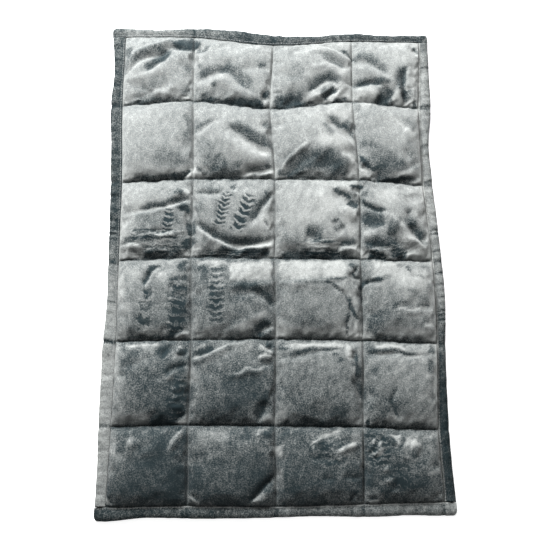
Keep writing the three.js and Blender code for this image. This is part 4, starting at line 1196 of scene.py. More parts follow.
# %% Marks on the sixth row
PILE_AND_PAINTED_MARKS += [
    (9, 0.46, (1.25, 6.14), (1.36, 6.17)),
    (13, 0.38, (1.04, 6.02), (1.07, 6.35), (1.05, 6.85)),
    (7, 0.14, (1.05, 6.75), (1.12, 6.9)),
    (1.8, 0.5, (1.01, 6.86), (1.05, 6.91), (1.1, 6.97)),
    (5, 0.14, (1.5, 6.25), (1.62, 6.17)),
    (9, -0.42, (1.7, 6.1), (1.68, 6.3), (1.65, 6.5)),
    (3.4, 0.4, (1.78, 6.23), (1.85, 6.12), (1.92, 6.04)),
    (5, -0.5, (1.9, 6.15), (1.97, 6.2)),
    (8, -0.2, (1.62, 6.1), (1.7, 6.22)),
    (17, -0.7, (1.8, 6.4), (1.86, 6.65), (1.85, 6.9)),
    (5, -0.5, (1.44, 6.88), (1.54, 6.86)),
    (11, 0.28, (2.08, 6.13), (2.5, 6.12)),
    (12, 0.13, (2.1, 6.3), (2.3, 6.42)),
    (9, 0.12, (2.35, 6.6), (2.45, 6.7)),
    (5, 0.22, (2.8, 6.3), (2.9, 6.25)),
    (5, -0.45, (2.86, 6.1), (2.97, 6.1)),
    (2.5, 0.35, (2.79, 6.12), (2.83, 6.05), (2.92, 6.03)),
    (7, -0.35, (2.6, 6.1), (2.74, 6.12)),
    (9, 0.42, (2.04, 6.45), (2.06, 6.8)),
    (8, -0.12, (2.6, 6.4), (2.9, 6.45)),
    (8, -0.26, (2.94, 6.45), (2.8, 6.66)),
    (4.5, -0.5, (2.68, 6.93), (2.82, 6.75), (2.98, 6.55)),
    (7, -0.25, (2.1, 6.86), (2.5, 6.92), (2.7, 6.93)),
    (4, 0.4, (2.73, 6.96), (2.81, 6.86), (2.88, 6.79)),
    (2, 0.4, (2.02, 6.87), (2.08, 6.92), (2.15, 6.97)),
    (2.2, 0.34, (3.43, 6.2), (3.5, 6.12), (3.6, 6.07), (3.75, 6.05)),
    (9, 0.2, (3.55, 6.08), (3.72, 6.1)),
    (8, 0.16, (3.6, 6.31), (3.72, 6.27)),
    (8, 0.2, (3.85, 6.08), (3.95, 6.1)),
    (3.8, 0.42, (3.69, 6.3), (3.8, 6.23), (3.93, 6.18)),
    (7, -0.3, (3.05, 6.1), (3.16, 6.12)),
    (2.2, 0.3, (3.5, 6.35), (3.57, 6.31)),
    (2.6, 0.3, (3.58, 6.36), (3.64, 6.33)),
    (2.2, 0.4, (3.965, 6.3), (3.96, 6.6)),
    (5, -0.32, (3.5, 6.17), (3.55, 6.27)),
    (1.6, 0.45, (3.46, 6.14), (3.42, 6.2), (3.45, 6.25)),
    (2.4, 0.25, (3.72, 6.48), (3.84, 6.42)),
    (5, 0.14, (3.5, 6.78), (3.62, 6.82)),
    (3, -0.2, (3.45, 6.35), (3.6, 6.36)),
    (6, 0.45, (3.05, 6.22), (3.08, 6.36)),
    (8, 0.42, (3.06, 6.52), (3.07, 6.82)),
    (2.5, -0.22, (3.5, 6.62), (3.7, 6.65)),
    (2.2, -0.22, (3.75, 6.62), (3.95, 6.62)),
    (9, -0.2, (3.2, 6.9), (3.6, 6.92)),
    (1.8, -0.7, (3.82, 6.97), (3.93, 6.8)),
    (2.2, 0.5, (4.08, 6.32), (4.17, 6.27), (4.22, 6.15)),
    (2.2, 0.42, (4.05, 6.2), (4.13, 6.15), (4.17, 6.08)),
    (2.4, 0.5, (4.17, 6.35), (4.24, 6.24)),
    (2.2, -0.26, (4.1, 6.25), (4.18, 6.2)),
    (7, -0.2, (4.04, 6.08), (4.2, 6.07)),
    (4, -0.4, (4.25, 6.12), (4.28, 6.05)),
    (6, 0.34, (4.55, 6.12), (4.7, 6.2)),
    (16, 0.16, (4.6, 6.12), (4.92, 6.15)),
    (3, 0.28, (4.85, 6.1), (4.95, 6.05)),
    (8, 0.2, (4.85, 6.29), (4.95, 6.32)),
    (2.4, 0.4, (4.42, 6.1), (4.46, 6.2)),
    (2, 0.4, (4.35, 6.07), (4.42, 6.09), (4.5, 6.08)),
    (4, -0.22, (4.66, 6.36), (4.6, 6.28)),
    (3, 0.16, (4.5, 6.4), (4.55, 6.25)),
    (2.8, 0.42, (4.19, 6.58), (4.24, 6.53), (4.3, 6.47)),
    (2.8, 0.42, (4.18, 6.68), (4.28, 6.68), (4.38, 6.63)),
    (2.2, -0.26, (4.35, 6.55), (4.2, 6.6)),
    (2.2, 0.24, (4.35, 6.82), (4.45, 6.78)),
    (4, 0.17, (4.6, 6.5), (4.58, 6.62)),
    (3, 0.3, (4.8, 6.6), (4.88, 6.56), (4.95, 6.5)),
    (6, 0.3, (4.83, 6.8), (4.92, 6.74)),
    (4, 0.14, (4.14, 6.75), (4.18, 6.86)),
    (1.5, 0.4, (4.03, 6.27), (4.1, 6.23), (4.14, 6.17)),
    (1.3, -0.5, (4.07, 6.29), (4.15, 6.22), (4.19, 6.12)),
    (1.3, -0.5, (4.14, 6.31), (4.2, 6.22)),
    (1.3, -0.4, (4.02, 6.2), (4.1, 6.15), (4.13, 6.09)),
    (1.6, -0.35, (4.45, 6.3), (4.5, 6.18), (4.53, 6.1)),
    (1.6, -0.4, (4.2, 6.63), (4.35, 6.58)),
    (1.5, -0.3, (4.37, 6.12), (4.42, 6.2)),
    (2.5, 0.4, (4.05, 6.97), (4.2, 6.94)),
    (1.8, -0.45, (4.25, 6.86), (4.31, 6.96)),
    (2.4, 0.25, (4.02, 6.86), (4.08, 6.76)),
    (7, -0.16, (4.3, 6.9), (4.6, 6.9)),
    (6, -0.16, (4.65, 6.65), (4.75, 6.7)),
    (10, -0.3, (4.1, 6.45), (4.07, 6.72)),
    (10, -0.16, (4.3, 6.45), (4.42, 6.68)),
]
print("marks so far:", len(PILE_AND_PAINTED_MARKS))

# %% Sum of the marks
# A mark ends crisply on one side and softly on the other, and lies a little beside its path towards the
# foot or the head. These are shares of its width.
CRISP, SOFT = 0.4, 1.45
DARK_SHIFT, BRIGHT_SHIFT = 0.4, -0.3
MARK_TAPER = 0.2
MARK_EDGE = 2.8

# How strongly dark marks work, and bright ones in each row of pockets.
DARKENING = 4.2
SHINE = [1.7, 1.7, 1.6, 1.8, 1.9, 3.2]

# Bands where the pile was laid flat by a pressed fold: width, gain, path. Both their edges are sharp.
BAND_TAPER = 0.12
BAND_EDGE = 9
LAID_BANDS = [
    (13, 1.15, (2.45, 4.2), (2.7, 4.18), (2.99, 4.17)),
    (12, 0.72, (3.01, 4.16), (3.5, 4.16), (3.83, 4.13)),
    (10, 0.5, (4.16, 4.12), (4.3, 4.12), (4.5, 4.12)),
]


# A mark along a fold or a seam is painted shade or a painted highlight; the rest are patches of the pile.
def mark_change(mark, places):
    """One mark's work. A dark mark ends crisply towards the foot, a bright one towards the head."""
    width, amount, *path = mark
    if amount < 0:
        shift, sides, strength = DARK_SHIFT, (SOFT, CRISP), DARKENING
    else:
        shift, sides, strength = BRIGHT_SHIFT, (CRISP, SOFT), SHINE[int(path[0][1]) - 1]
    felt = stroke(lowered(path, shift * width), width, places, MARK_TAPER, MARK_EDGE, *sides)
    return strength * amount * felt


def pile_and_painted_marks():
    """Sum of all marks and bands."""
    frayed = frayed_places(coarse=2.2, fine=1.2, seed=11)
    change = sum(mark_change(mark, frayed) for mark in PILE_AND_PAINTED_MARKS)
    for width, gain, *path in LAID_BANDS:
        change += gain * stroke(path, width, frayed, BAND_TAPER, BAND_EDGE)
    return change


pile_and_painted_change = pile_and_painted_marks()
print("marks work from", round(pile_and_painted_change.min(), 1), "to", round(pile_and_painted_change.max(), 1))

# %% Lean of each pocket
# Lean of each pocket at its head side and at its foot side, one row for each row of pockets: partly the
# pile's own tone, partly painted shade that darkens the pad from the head rows to the foot rows.
HEAD_SIDE = np.array([
    [0.37, 0.44, 0.48, 0.52],
    [0.46, 0.46, 0.56, 0.52],
    [0.46, 0.41, 0.58, 0.48],
    [0.36, 0.21, 0.35, 0.41],
    [0.16, 0.19, 0.3, 0.37],
    [0.1, 0.15, 0.15, 0.18],
])
FOOT_SIDE = np.array([
    [0.48, 0.46, 0.52, 0.52],
    [0.42, 0.44, 0.42, 0.42],
    [0.42, 0.44, 0.42, 0.42],
    [0.19, 0.21, 0.32, 0.28],
    [0.1, 0.09, 0.15, 0.2],
    [0.03, 0.05, 0.05, 0.06],
])

# Painted light: how much lighter the pile is painted by each pocket's foot seam, to lift the shade where the
# cover turns away from the lamp; below zero it is painted shade.
FOOT_PAINTED_LIGHT = np.array([
    [0.1, -0.2, 0.3, 0.4],
    [0.65, 0.6, 0.5, 0.45],
    [0.45, 0.45, 0.4, 0.4],
    [0.75, 0.65, 0.85, 0.8],
    [1.45, 0.9, 0.9, 0.9],
    [1, 1, 1.1, 1.15],
])

# Painted shade: how much darker the pile is painted by each row's head seam, which faces the lamp.
HEAD_PAINTED_SHADE = np.array([0.05, 0.25, 0.14, 0, 0, 0.15])

# Painted light beside the long seams in each row of pockets, and painted shade where it is below zero.
LONG_SEAM_PAINTED_LIGHT = np.array([0.1, 0.1, -0.1, -0.05, 0.1, 0.15])

# Painted light and shade: how much lighter the right of each column's pockets is painted than their left.
SIDEWAYS_PAINTED_LIGHT = np.array([-0.12, 0.1, 0.45, 0.55])


def pocket_lean():
    """Lean by its place in its pocket, before any mark: the pile's tone with painted light and shade."""
    base = HEAD_SIDE[row, column] + (FOOT_SIDE - HEAD_SIDE)[row, column] * ease(down)
    return base * np.exp(SIDEWAYS_PAINTED_LIGHT[column] * (across - 0.5))


print("lean of the pockets up to", round(pocket_lean().max(), 2))

# %% Blotches
# How blotchy the pile is in each row of pockets, and the way each pocket was last brushed, in degrees.
BLOTCHES = np.array([0.45, 0.45, 1, 1.8, 2.2, 2.7])
BRUSHED_WAY = np.array([
    [70, 60, 75, 110],
    [85, 70, 60, 100],
    [20, 110, 80, 150],
    [75, 40, 60, 25],
    [100, 50, 70, 35],
    [80, 65, 130, 45],
])
# How far that way wanders within a pocket, in degrees, and over how many millimetres.
WAY_WANDER = 20
WAY_SIZE = 60


def streaks(width, length, seed):
    """Noise drawn out along the way each pocket was brushed, with its sizes in millimetres."""
    way = np.radians(BRUSHED_WAY[row, column] + WAY_WANDER * cloud(WAY_SIZE, seed))
    u = (X * np.cos(way) + Y * np.sin(way)) / length
    v = (Y * np.cos(way) - X * np.sin(way)) / width
    return np.array([noise.noise((*place, 3.0 * seed)) for place in zip(u, v)])


blotches = 0.16 * cloud(size=24, seed=5) + 0.12 * cloud(size=9, seed=6)
blotches += 0.16 * streaks(width=4.5, length=16, seed=7)
blotches += 0.1 * streaks(width=3, length=7, seed=8)
print("blotches from", round(blotches.min(), 2), "to", round(blotches.max(), 2))

# %% Lean of the upper cover
# Painted shade in the crease of each cross seam, over a width in millimetres, but not at the border.
CROSS_SEAM_PAINTED_SHADE = 1.2
CROSS_SEAM_SHADE_WIDTH = 1.6
CROSS_SEAM_SHADE_FADE = 0.04
# Painted light and shade beside the long seams, over a width in millimetres.
LONG_SEAM_LIGHT_WIDTH = 2.5
# In these parts of a pocket painted light lifts the lean towards the foot seam, and painted shade dims it
# towards the head seam.
LIFT_START = 0.78
LIFT_RISE = 0.16
DIM_REACH = 0.22
# Painted light on the pad's right rim, whose wall is in shade, over a width in millimetres, from this cross
# line on.
RIM_PAINTED_LIGHT = 0.8
RIM_WIDTH = 3.5
RIM_START = 1.8
RIM_RISE = 0.4
# Painted light by slope: what the lean gains where the cover falls towards the head and towards the left.
PAINTED_LIGHT_TO_HEAD = 0.03
PAINTED_LIGHT_TO_LEFT = 0.06
STEEPEST = 1.5
# Above this lean the shine grows less and less, and by no more than the room that is left.
MODEST = 0.5
ROOM = 0.24


def grid_slopes(points):
    """How steeply the cover falls towards the head and towards the left."""
    x, y, z = (v.reshape(TALL, WIDE) for v in points.T)
    to_head = -np.gradient(z, axis=0) / np.gradient(y, axis=0)
    to_left = np.gradient(z, axis=1) / np.gradient(x, axis=1)
    return (np.clip(slope, -STEEPEST, STEEPEST).ravel() for slope in (to_head, to_left))


def painted_seam_and_rim_light():
    """Painted shade and light by the seams and on the right rim, as a change of the lean."""
    painted_seam_shade = -CROSS_SEAM_PAINTED_SHADE * np.exp(-((to_seam(down) / CROSS_SEAM_SHADE_WIDTH) ** 2))
    painted_seam_shade *= ease(from_border(A, B) / CROSS_SEAM_SHADE_FADE)
    painted_long_seam_light = LONG_SEAM_PAINTED_LIGHT[row] * np.exp(-((to_seam(across) / LONG_SEAM_LIGHT_WIDTH) ** 2))
    painted_foot_light = FOOT_PAINTED_LIGHT[row, column] * ease((down - LIFT_START) / LIFT_RISE)
    painted_head_shade = HEAD_PAINTED_SHADE[row] * ease(1 - down / DIM_REACH)
    from_right = (COLUMNS + 1 - A) * SIDE_POCKET
    right_rim_painted_light = RIM_PAINTED_LIGHT * np.exp(-((from_right / RIM_WIDTH) ** 2)) * ease((B - RIM_START) / RIM_RISE)
    return painted_seam_shade + painted_long_seam_light + painted_foot_light + right_rim_painted_light - painted_head_shade


# The pile's lean together with painted light and shade from slopes, seams, rim and marks.
def pile_lean_and_painted_light():
    to_head, to_left = grid_slopes(upper)
    painted_slope_light = PAINTED_LIGHT_TO_HEAD * to_head + PAINTED_LIGHT_TO_LEFT * to_left
    lean = pocket_lean() * np.exp(pile_and_painted_change + painted_seam_and_rim_light() + painted_slope_light + BLOTCHES[row] * blotches)
    return np.where(lean < MODEST, lean, MODEST + ROOM * np.tanh((lean - MODEST) / ROOM))


upper_lean_and_light = pile_lean_and_painted_light()
print("lean of the pile from", round(upper_lean_and_light.min(), 2), "to", round(upper_lean_and_light.max(), 2))

# %% Lean of the under cover
UNDER_LEAN = 0.26
# Each cloud of tone: strength, size in millimetres, seed.
UNDER_CLOUDS = [(0.3, 38, 12), (0.3, 13, 13), (0.2, 5, 14)]
# Painted shade: how much darker the cover gets with each millimetre that a seam lifts it.
LIFT_PAINTED_SHADE = 0.2


def under_lean():
    """Lean of the under cover, which nobody has brushed: soft clouds, and painted shade where the seams lift
    it.
    """
    points = np.array([vertex.co for vertex in pad.data.vertices[len(A):]]) / MM
    clouds = sum(strength * cloud(size, seed, points[:, :2]) for strength, size, seed in UNDER_CLOUDS)
    return np.clip(UNDER_LEAN * np.exp(clouds - LIFT_PAINTED_SHADE * points[:, 2]), 0, 1)


def store_lean(piece, values):
    attribute = piece.data.attributes.new("lean", "FLOAT", "POINT")
    attribute.data.foreach_set("value", np.asarray(values, np.float32))


store_lean(pad, np.concatenate([upper_lean_and_light, under_lean()]))
print("lean stored for", len(pad.data.vertices), "points")

# %% [markdown]
# ## Grain and crush marks
# The pile's grain is wanted on the pad and on its binding, so it becomes a node group that both materials
# use. Another group draws one column of crush marks: where the pad was squeezed, the pile lies in short
# rungs, one below the other, as on a ladder. Both give out only values that vary over the cloth, for a
# colour ramp and a bump.

# %% Grain of the plush
# Noises of the pile: features in a metre, detail, roughness.
TIPS = (680, 3, 0.8)
TUFTS = (150, 2, 0.6)
RUBS = (230, 3, 0.6)
TUFT_STRETCH = (1, 0.6, 1)
# How much the tufts count beside the tips, in the tone and in the bump.
TUFT_TONE = 0.3
TUFT_RISE = 0.6
LEAST_RUBBED = 0.1
# The grain's strength on standing pile, its gain with the lean, its most, and its loss on pile laid flat.
GRAIN_START = 0.4
GRAIN_GAIN = 9
GRAIN_MOST = 1.65
GRAIN_LOSS = 0.45
# A few tips of the pile catch more light than the others, so the grain has more glints than dark specks.
USUAL_UNEVENNESS = 0.065
GLINT = 2


def add_node(tree, kind, **settings):
    node = tree.nodes.new("ShaderNode" + kind)
    for name, value in settings.items():
        setattr(node, name, value)
    return node


def calculate(tree, operation, *values):
    """Result of a math node; each value is a socket to link or a plain number."""
    node = add_node(tree, "Math", operation=operation)
    for socket, value in zip(node.inputs, values):
        if isinstance(value, bpy.types.NodeSocket):
            tree.links.new(value, socket)
        else:
            socket.default_value = value
    return node.outputs[0]


def noise_of(tree, place, scale, detail, roughness, stretch=(1, 1, 1)):
    """Noise about 0, with features of 1/scale metres."""
    mapping = add_node(tree, "Mapping")
    set_inputs(mapping, {"Scale": stretch})
    tree.links.new(place, mapping.inputs["Vector"])
    texture = add_node(tree, "TexNoise")
    set_inputs(texture, {"Scale": scale, "Detail": detail, "Roughness": roughness})
    tree.links.new(mapping.outputs["Vector"], texture.inputs["Vector"])
    return calculate(tree, "SUBTRACT", texture.outputs["Fac"], 0.5)


def new_group(name, vectors, floats, results):
    """A node group with these inputs and results, and the sockets of both inside it."""
    tree = bpy.data.node_groups.new(name, "ShaderNodeTree")
    kinds = [(vectors, "INPUT", "Vector"), (floats, "INPUT", "Float"), (results, "OUTPUT", "Float")]
    for sockets, way, kind in kinds:
        for socket in sockets:
            tree.interface.new_socket(socket, in_out=way, socket_type="NodeSocket" + kind)
    return tree, tree.nodes.new("NodeGroupInput").outputs, tree.nodes.new("NodeGroupOutput").inputs


def plush_grain_group():
    tree, given, result = new_group("plush_grain", ["Place"], ["Lean", "Mottling"], ["Lean", "Height"])
    tips = noise_of(tree, given["Place"], *TIPS)
    tufts = noise_of(tree, given["Place"], *TUFTS, TUFT_STRETCH)
    rubbed = calculate(tree, "MULTIPLY_ADD", noise_of(tree, given["Place"], *RUBS), given["Mottling"], 1)
    lean = calculate(tree, "MULTIPLY", given["Lean"], calculate(tree, "MAXIMUM", rubbed, LEAST_RUBBED))
    rising = calculate(tree, "MULTIPLY_ADD", lean, GRAIN_GAIN, GRAIN_START)
    falling = calculate(tree, "MULTIPLY_ADD", lean, -GRAIN_LOSS, 1)
    strength = calculate(tree, "MULTIPLY", calculate(tree, "MINIMUM", rising, GRAIN_MOST), falling)
    uneven = calculate(tree, "MULTIPLY_ADD", tufts, TUFT_TONE, tips)
    glinting = calculate(tree, "MULTIPLY_ADD", uneven, uneven, -USUAL_UNEVENNESS ** 2)
    lively = calculate(tree, "MULTIPLY_ADD", glinting, GLINT, uneven)
    tree.links.new(calculate(tree, "MULTIPLY_ADD", lively, strength, lean), result["Lean"])
    tree.links.new(calculate(tree, "MULTIPLY_ADD", tufts, TUFT_RISE, tips), result["Height"])
    return tree


PLUSH_GRAIN = plush_grain_group()
print("node group", PLUSH_GRAIN.name, "of", len(PLUSH_GRAIN.nodes), "nodes")

# %% One column of crush marks
# Noise that frays a column, given as those above.
FRAYING = (130, 2, 0.6)
# Where a column's side fades, in half widths, and how soon its ends do, as a share of its length.
SIDE_FADE = (1.1, 0.6)
END_FADE = 0.06
# Between which heights of the wave a rung starts, how dark it is, and how bright the gap is.
RUNG_START = (-0.8, 0.1)
RUNG_DARK = 1.35
GAP_BRIGHT = 0.35


def along(tree, vector, direction):
    node = add_node(tree, "VectorMath", operation="DOT_PRODUCT")
    tree.links.new(vector, node.inputs[0])
    tree.links.new(direction, node.inputs[1])
    return node.outputs["Value"]


def soft_step(tree, value, start, end):
    node = add_node(tree, "MapRange", interpolation_type="SMOOTHSTEP")
    set_inputs(node, {"From Min": start, "From Max": end})
    tree.links.new(value, node.inputs["Value"])
    return node.outputs["Result"]


def crush_column_group():
    tree, given, result = new_group(
        "crush_column", ["Place", "Start", "Along", "Side"], ["Rungs", "Point", "Fray"], ["Mark"]
    )
    from_start = add_node(tree, "VectorMath", operation="SUBTRACT")
    tree.links.new(given["Place"], from_start.inputs[0])
    tree.links.new(given["Start"], from_start.inputs[1])
    uneven = calculate(tree, "MULTIPLY", noise_of(tree, given["Place"], *FRAYING), given["Fray"])
    down_it = along(tree, from_start.outputs["Vector"], given["Along"])
    aside = calculate(tree, "ABSOLUTE", along(tree, from_start.outputs["Vector"], given["Side"]))
    inside = soft_step(tree, calculate(tree, "ADD", uneven, aside), *SIDE_FADE)
    after_start = soft_step(tree, down_it, 0, END_FADE)
    before_end = soft_step(tree, down_it, 1, 1 - END_FADE)
    within = calculate(tree, "MULTIPLY", inside, calculate(tree, "MULTIPLY", after_start, before_end))
    slanted = calculate(tree, "MULTIPLY_ADD", aside, given["Point"], uneven)
    turn = calculate(tree, "MULTIPLY_ADD", down_it, given["Rungs"], slanted)
    wave = calculate(tree, "SINE", calculate(tree, "MULTIPLY", turn, 2 * math.pi))
    rung = calculate(tree, "MULTIPLY_ADD", soft_step(tree, wave, *RUNG_START), RUNG_DARK, -GAP_BRIGHT)
    tree.links.new(calculate(tree, "MULTIPLY", within, rung), result["Mark"])
    return tree


CRUSH_COLUMN = crush_column_group()
print("node group", CRUSH_COLUMN.name, "of", len(CRUSH_COLUMN.nodes), "nodes")

# %% [markdown]
# ## Plush materials
# A ramp turns lean into colour, from the dark of standing pile to the silver of pile laid flat. The crush
# columns are placed by the lines of the quilting, as the folds are.

# %% Places of the crush marks
# Each column: first and last place, half width in millimetres, number of rungs, how far they point, how
# frayed they are, and their strength. The wide ones are patches of ripples.
CRUSHED = [
    ((1.71, 3.34), (1.66, 3.61), 6.5, 4, 0.3, 1.1, 0.24),
    ((2.43, 3.14), (2.33, 3.58), 8, 8, 0.6, 1.1, 0.28),
    ((2.71, 3.17), (2.53, 3.64), 9.5, 6, 0.5, 1.1, 0.31),
    ((1.5, 3.58), (1.5, 3.92), 38, 6, 0.2, 2.2, 0.13),
    ((2.45, 3.86), (2.45, 4), 36, 3, 0.3, 1.8, 0.12),
    ((3.55, 3.7), (3.55, 3.97), 30, 5, 0.3, 2.2, 0.14),
    ((4.5, 3.72), (4.55, 3.97), 36, 4, 0.5, 2.4, 0.12),
    ((1.42, 4.32), (1.36, 4.88), 8.5, 3, 0.15, 1.2, 0.19),
    ((1.84, 4.22), (1.78, 4.9), 13, 7, 0.3, 2, 0.12),
    ((2.32, 4.06), (2.29, 4.8), 10, 10, 0.35, 1.4, 0.16),
    ((1.86, 5.4), (1.84, 5.95), 11, 6, 0.3, 1.8, 0.1),
    ((3.62, 6.1), (3.68, 6.5), 22, 5, 0.7, 2.6, 0.1),
    ((4.22, 6.06), (4.16, 6.5), 15, 6, 0.8, 2.4, 0.12),
    ((4.62, 6.3), (4.5, 6.8), 18, 5, 0.6, 2.6, 0.07),
]


def crush_marks(tree, place, crushed):
    """Sum of all columns of crush marks, each with its strength."""
    marks = 0
    for start, end, half_width, rungs, point, fray, strength in crushed:
        first, last = np.stack(plan(*zip(*lowered([start, end], 0))), 1) * MM
        run = last - first
        sideways = np.array([-run[1], run[0]]) / np.linalg.norm(run)
        ladder = add_node(tree, "Group", node_tree=CRUSH_COLUMN)
        tree.links.new(place, ladder.inputs["Place"])
        set_inputs(ladder, {"Start": (*first, 0), "Along": (*run / (run @ run), 0)})
        set_inputs(ladder, {"Side": (*sideways / half_width / MM, 0)})
        set_inputs(ladder, {"Rungs": rungs, "Point": point, "Fray": fray})
        marks = calculate(tree, "MULTIPLY_ADD", ladder.outputs["Mark"], strength, marks)
    return marks


print("columns of crush marks:", len(CRUSHED))

# %% Plush on the pad
PILE_ROUGHNESS = 0.9
PILE_SPECULAR = 0.2
SHEEN_ROUGHNESS = 0.4
BUMP_STRENGTH = 0.5
BUMP_DISTANCE = 1.2 * MM
CRUSH_DEPTH = 2
PAD_DARK = (0.008, 0.0165, 0.0198)
SILVER = (0.362, 0.374, 0.3635)


def plush_material(name, dark, sheen, mottling, crushed=()):
    material = bpy.data.materials.new(name)
    material.use_nodes = True
    tree = material.node_tree
    shader = tree.nodes["Principled BSDF"]
    set_inputs(shader, {"Roughness": PILE_ROUGHNESS, "Specular IOR Level": PILE_SPECULAR})
    set_inputs(shader, {"Sheen Weight": sheen, "Sheen Roughness": SHEEN_ROUGHNESS})
    lean = add_node(tree, "Attribute", attribute_name="lean").outputs["Fac"]
    place = add_node(tree, "TexCoord").outputs["Object"]
    marks = crush_marks(tree, place, crushed)
    grain = add_node(tree, "Group", node_tree=PLUSH_GRAIN)
    set_inputs(grain, {"Mottling": mottling})
    tree.links.new(calculate(tree, "SUBTRACT", lean, marks), grain.inputs["Lean"])
    tree.links.new(place, grain.inputs["Place"])
    ramp = add_node(tree, "ValToRGB")
    ramp.color_ramp.elements[0].color = (*dark, 1)
    ramp.color_ramp.elements[1].color = (*SILVER, 1)
    tree.links.new(grain.outputs["Lean"], ramp.inputs["Fac"])
    tree.links.new(ramp.outputs["Color"], shader.inputs["Base Color"])
    bump = add_node(tree, "Bump")
    set_inputs(bump, {"Strength": BUMP_STRENGTH, "Distance": BUMP_DISTANCE})
    height = calculate(tree, "MULTIPLY_ADD", marks, -CRUSH_DEPTH, grain.outputs["Height"])
    tree.links.new(height, bump.inputs["Height"])
    tree.links.new(bump.outputs["Normal"], shader.inputs["Normal"])
    return material


pad_plush = plush_material("pad_plush", PAD_DARK, sheen=0.17, mottling=0.45, crushed=CRUSHED)
pad.data.materials.append(pad_plush)
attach(pad, "root")
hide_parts("quilted_pad")
print("pad plush:", len(pad_plush.node_tree.nodes), "nodes")

# %% [markdown]
# ## Binding
# A strip of the same plush is folded over the raw edge and sewn through. A curve with a bevel would twist at
# the corners and could not follow two crooked lines at once, so each strip is swept by hand: a U-shaped
# section is stretched between the inner and the outer line at every station. The head and foot strips run
# over the whole width and are sewn shut at their ends; the side strips run between them.

# %% Section of the binding
SLOT_MIDDLE = EDGE_HEIGHT
SLOT_ROOM = 0.3
SLOT_HALF = COVERS / 2 + SLOT_ROOM
# What stays open of the slot at an end that is sewn shut.
SEWN_SHUT = 0.04

# Outside of the folded strip, from its lower lip to its upper one: share across, height in millimetres.
BINDING_OUTSIDE = np.array([
    (0, 0.6), (0.06, 0.15), (0.12, 0.6), (0.18, 0.65), (0.25, 0.15), (0.5, 0), (0.8, 0), (0.92, 0.5),
    (0.98, 1.6), (1, 3.1), (0.985, 4.5), (0.94, 5.7), (0.86, 6.6), (0.74, 7.2), (0.58, 7.45), (0.42, 7.3),
    (0.3, 6.9), (0.2, 6.45), (0.13, 6.3), (0.06, 6.4), (-0.01, 6.15), (-0.03, 5.6),
])
# Inside of the fold, from the upper lip to the lower one: share across, side of the slot.
BINDING_INSIDE = np.array([
    (-0.01, 1), (0.2, 1), (0.45, 1), (0.7, 1), (0.79, 0.7), (0.82, 0), (0.79, -0.7), (0.7, -1),
    (0.45, -1), (0.2, -1), (0, -1),
])


def binding_section(opening):
    """Closed section of the strip; opening is 1 along its length and 0 where an end is sewn shut."""
    inside = BINDING_INSIDE.copy()
    inside[:, 1] = SLOT_MIDDLE + SLOT_HALF * inside[:, 1] * max(opening, SEWN_SHUT)
    return np.concatenate([BINDING_OUTSIDE, inside])


SECTION_SIZE = len(binding_section(1))
print("section of the binding:", SECTION_SIZE, "points")

# %% Pinches and creases
# How far along a strip a seam pinches it, as a share of a pocket.
PINCH_SPREAD = 0.045

# Where a side strip is creased across: place by cross lines, half width as a share of a pocket, depth.
CREASES = {
    "left_binding": [
        (1.35, 0.015, 0.5), (1.57, 0.012, 0.5), (1.72, 0.02, 0.6), (2, 0.03, 0.6), (2.35, 0.02, 0.4),
        (2.75, 0.025, 0.5), (3.06, 0.012, 0.5), (3.18, 0.02, 0.6), (3.37, 0.012, 0.5), (3.5, 0.02, 0.6),
        (3.61, 0.014, 0.7), (3.67, 0.012, 0.7), (3.74, 0.01, 0.5), (4.04, 0.012, 0.9), (4.53, 0.01, 0.5),
        (5.02, 0.018, 0.95),
    ],
    "right_binding": [
        (1.4, 0.015, 0.4), (1.98, 0.02, 0.5), (2.5, 0.015, 0.4), (2.97, 0.015, 0.6), (3.61, 0.01, 0.9),
        (3.66, 0.01, 0.9), (3.88, 0.014, 0.6), (4.16, 0.015, 0.5), (4.3, 0.014, 0.4), (4.62, 0.008, 0.7),
        (4.67, 0.01, 0.9), (4.73, 0.012, 0.95), (5.5, 0.02, 0.4), (5.98, 0.02, 0.5),
    ],
}


def creased(name, places, slant=0):
    """How deeply each place of a strip is creased; a slant shifts the creases along the strip."""
    depth = np.zeros(np.shape(places))
    for at, half_width, deep in CREASES.get(name, []):
        depth = np.maximum(depth, deep * np.exp(-(((places + slant - at) / half_width) ** 2)))
    return depth


def pinched(places, spread=PINCH_SPREAD):
    """1 where a quilting seam runs into the strip and draws it in, 0 between the seams."""
    from_seam = np.abs(places - np.round(places))
    return np.exp(-((from_seam / spread) ** 2)) * (places > 1.5) * (places < np.max(places) - 0.5)


print("creases:", {name: len(creases) for name, creases in CREASES.items()})

# %% Side strips
LIP_INSET = 0.03
END_GAP = 0.005
STATION = 1.6

# Noises that make a strip waver: size in millimetres, swing of its outer edge, puff of its upper face.
WAVERS = [(34, 0.5, 0), (13, 0.4, 1.3), (5, 0.25, 0.9)]
SWING_SHARE = 0.06
PINCH_DEPTH = 1.6
# How swing and puff grow from the lip, at share 0 of the section, to the outer edge, at share 1.
SWING_GAIN, SWING_START = 1.6, 0.3
PUFF_GAIN, LEAST_PUFF = 2, 0.2


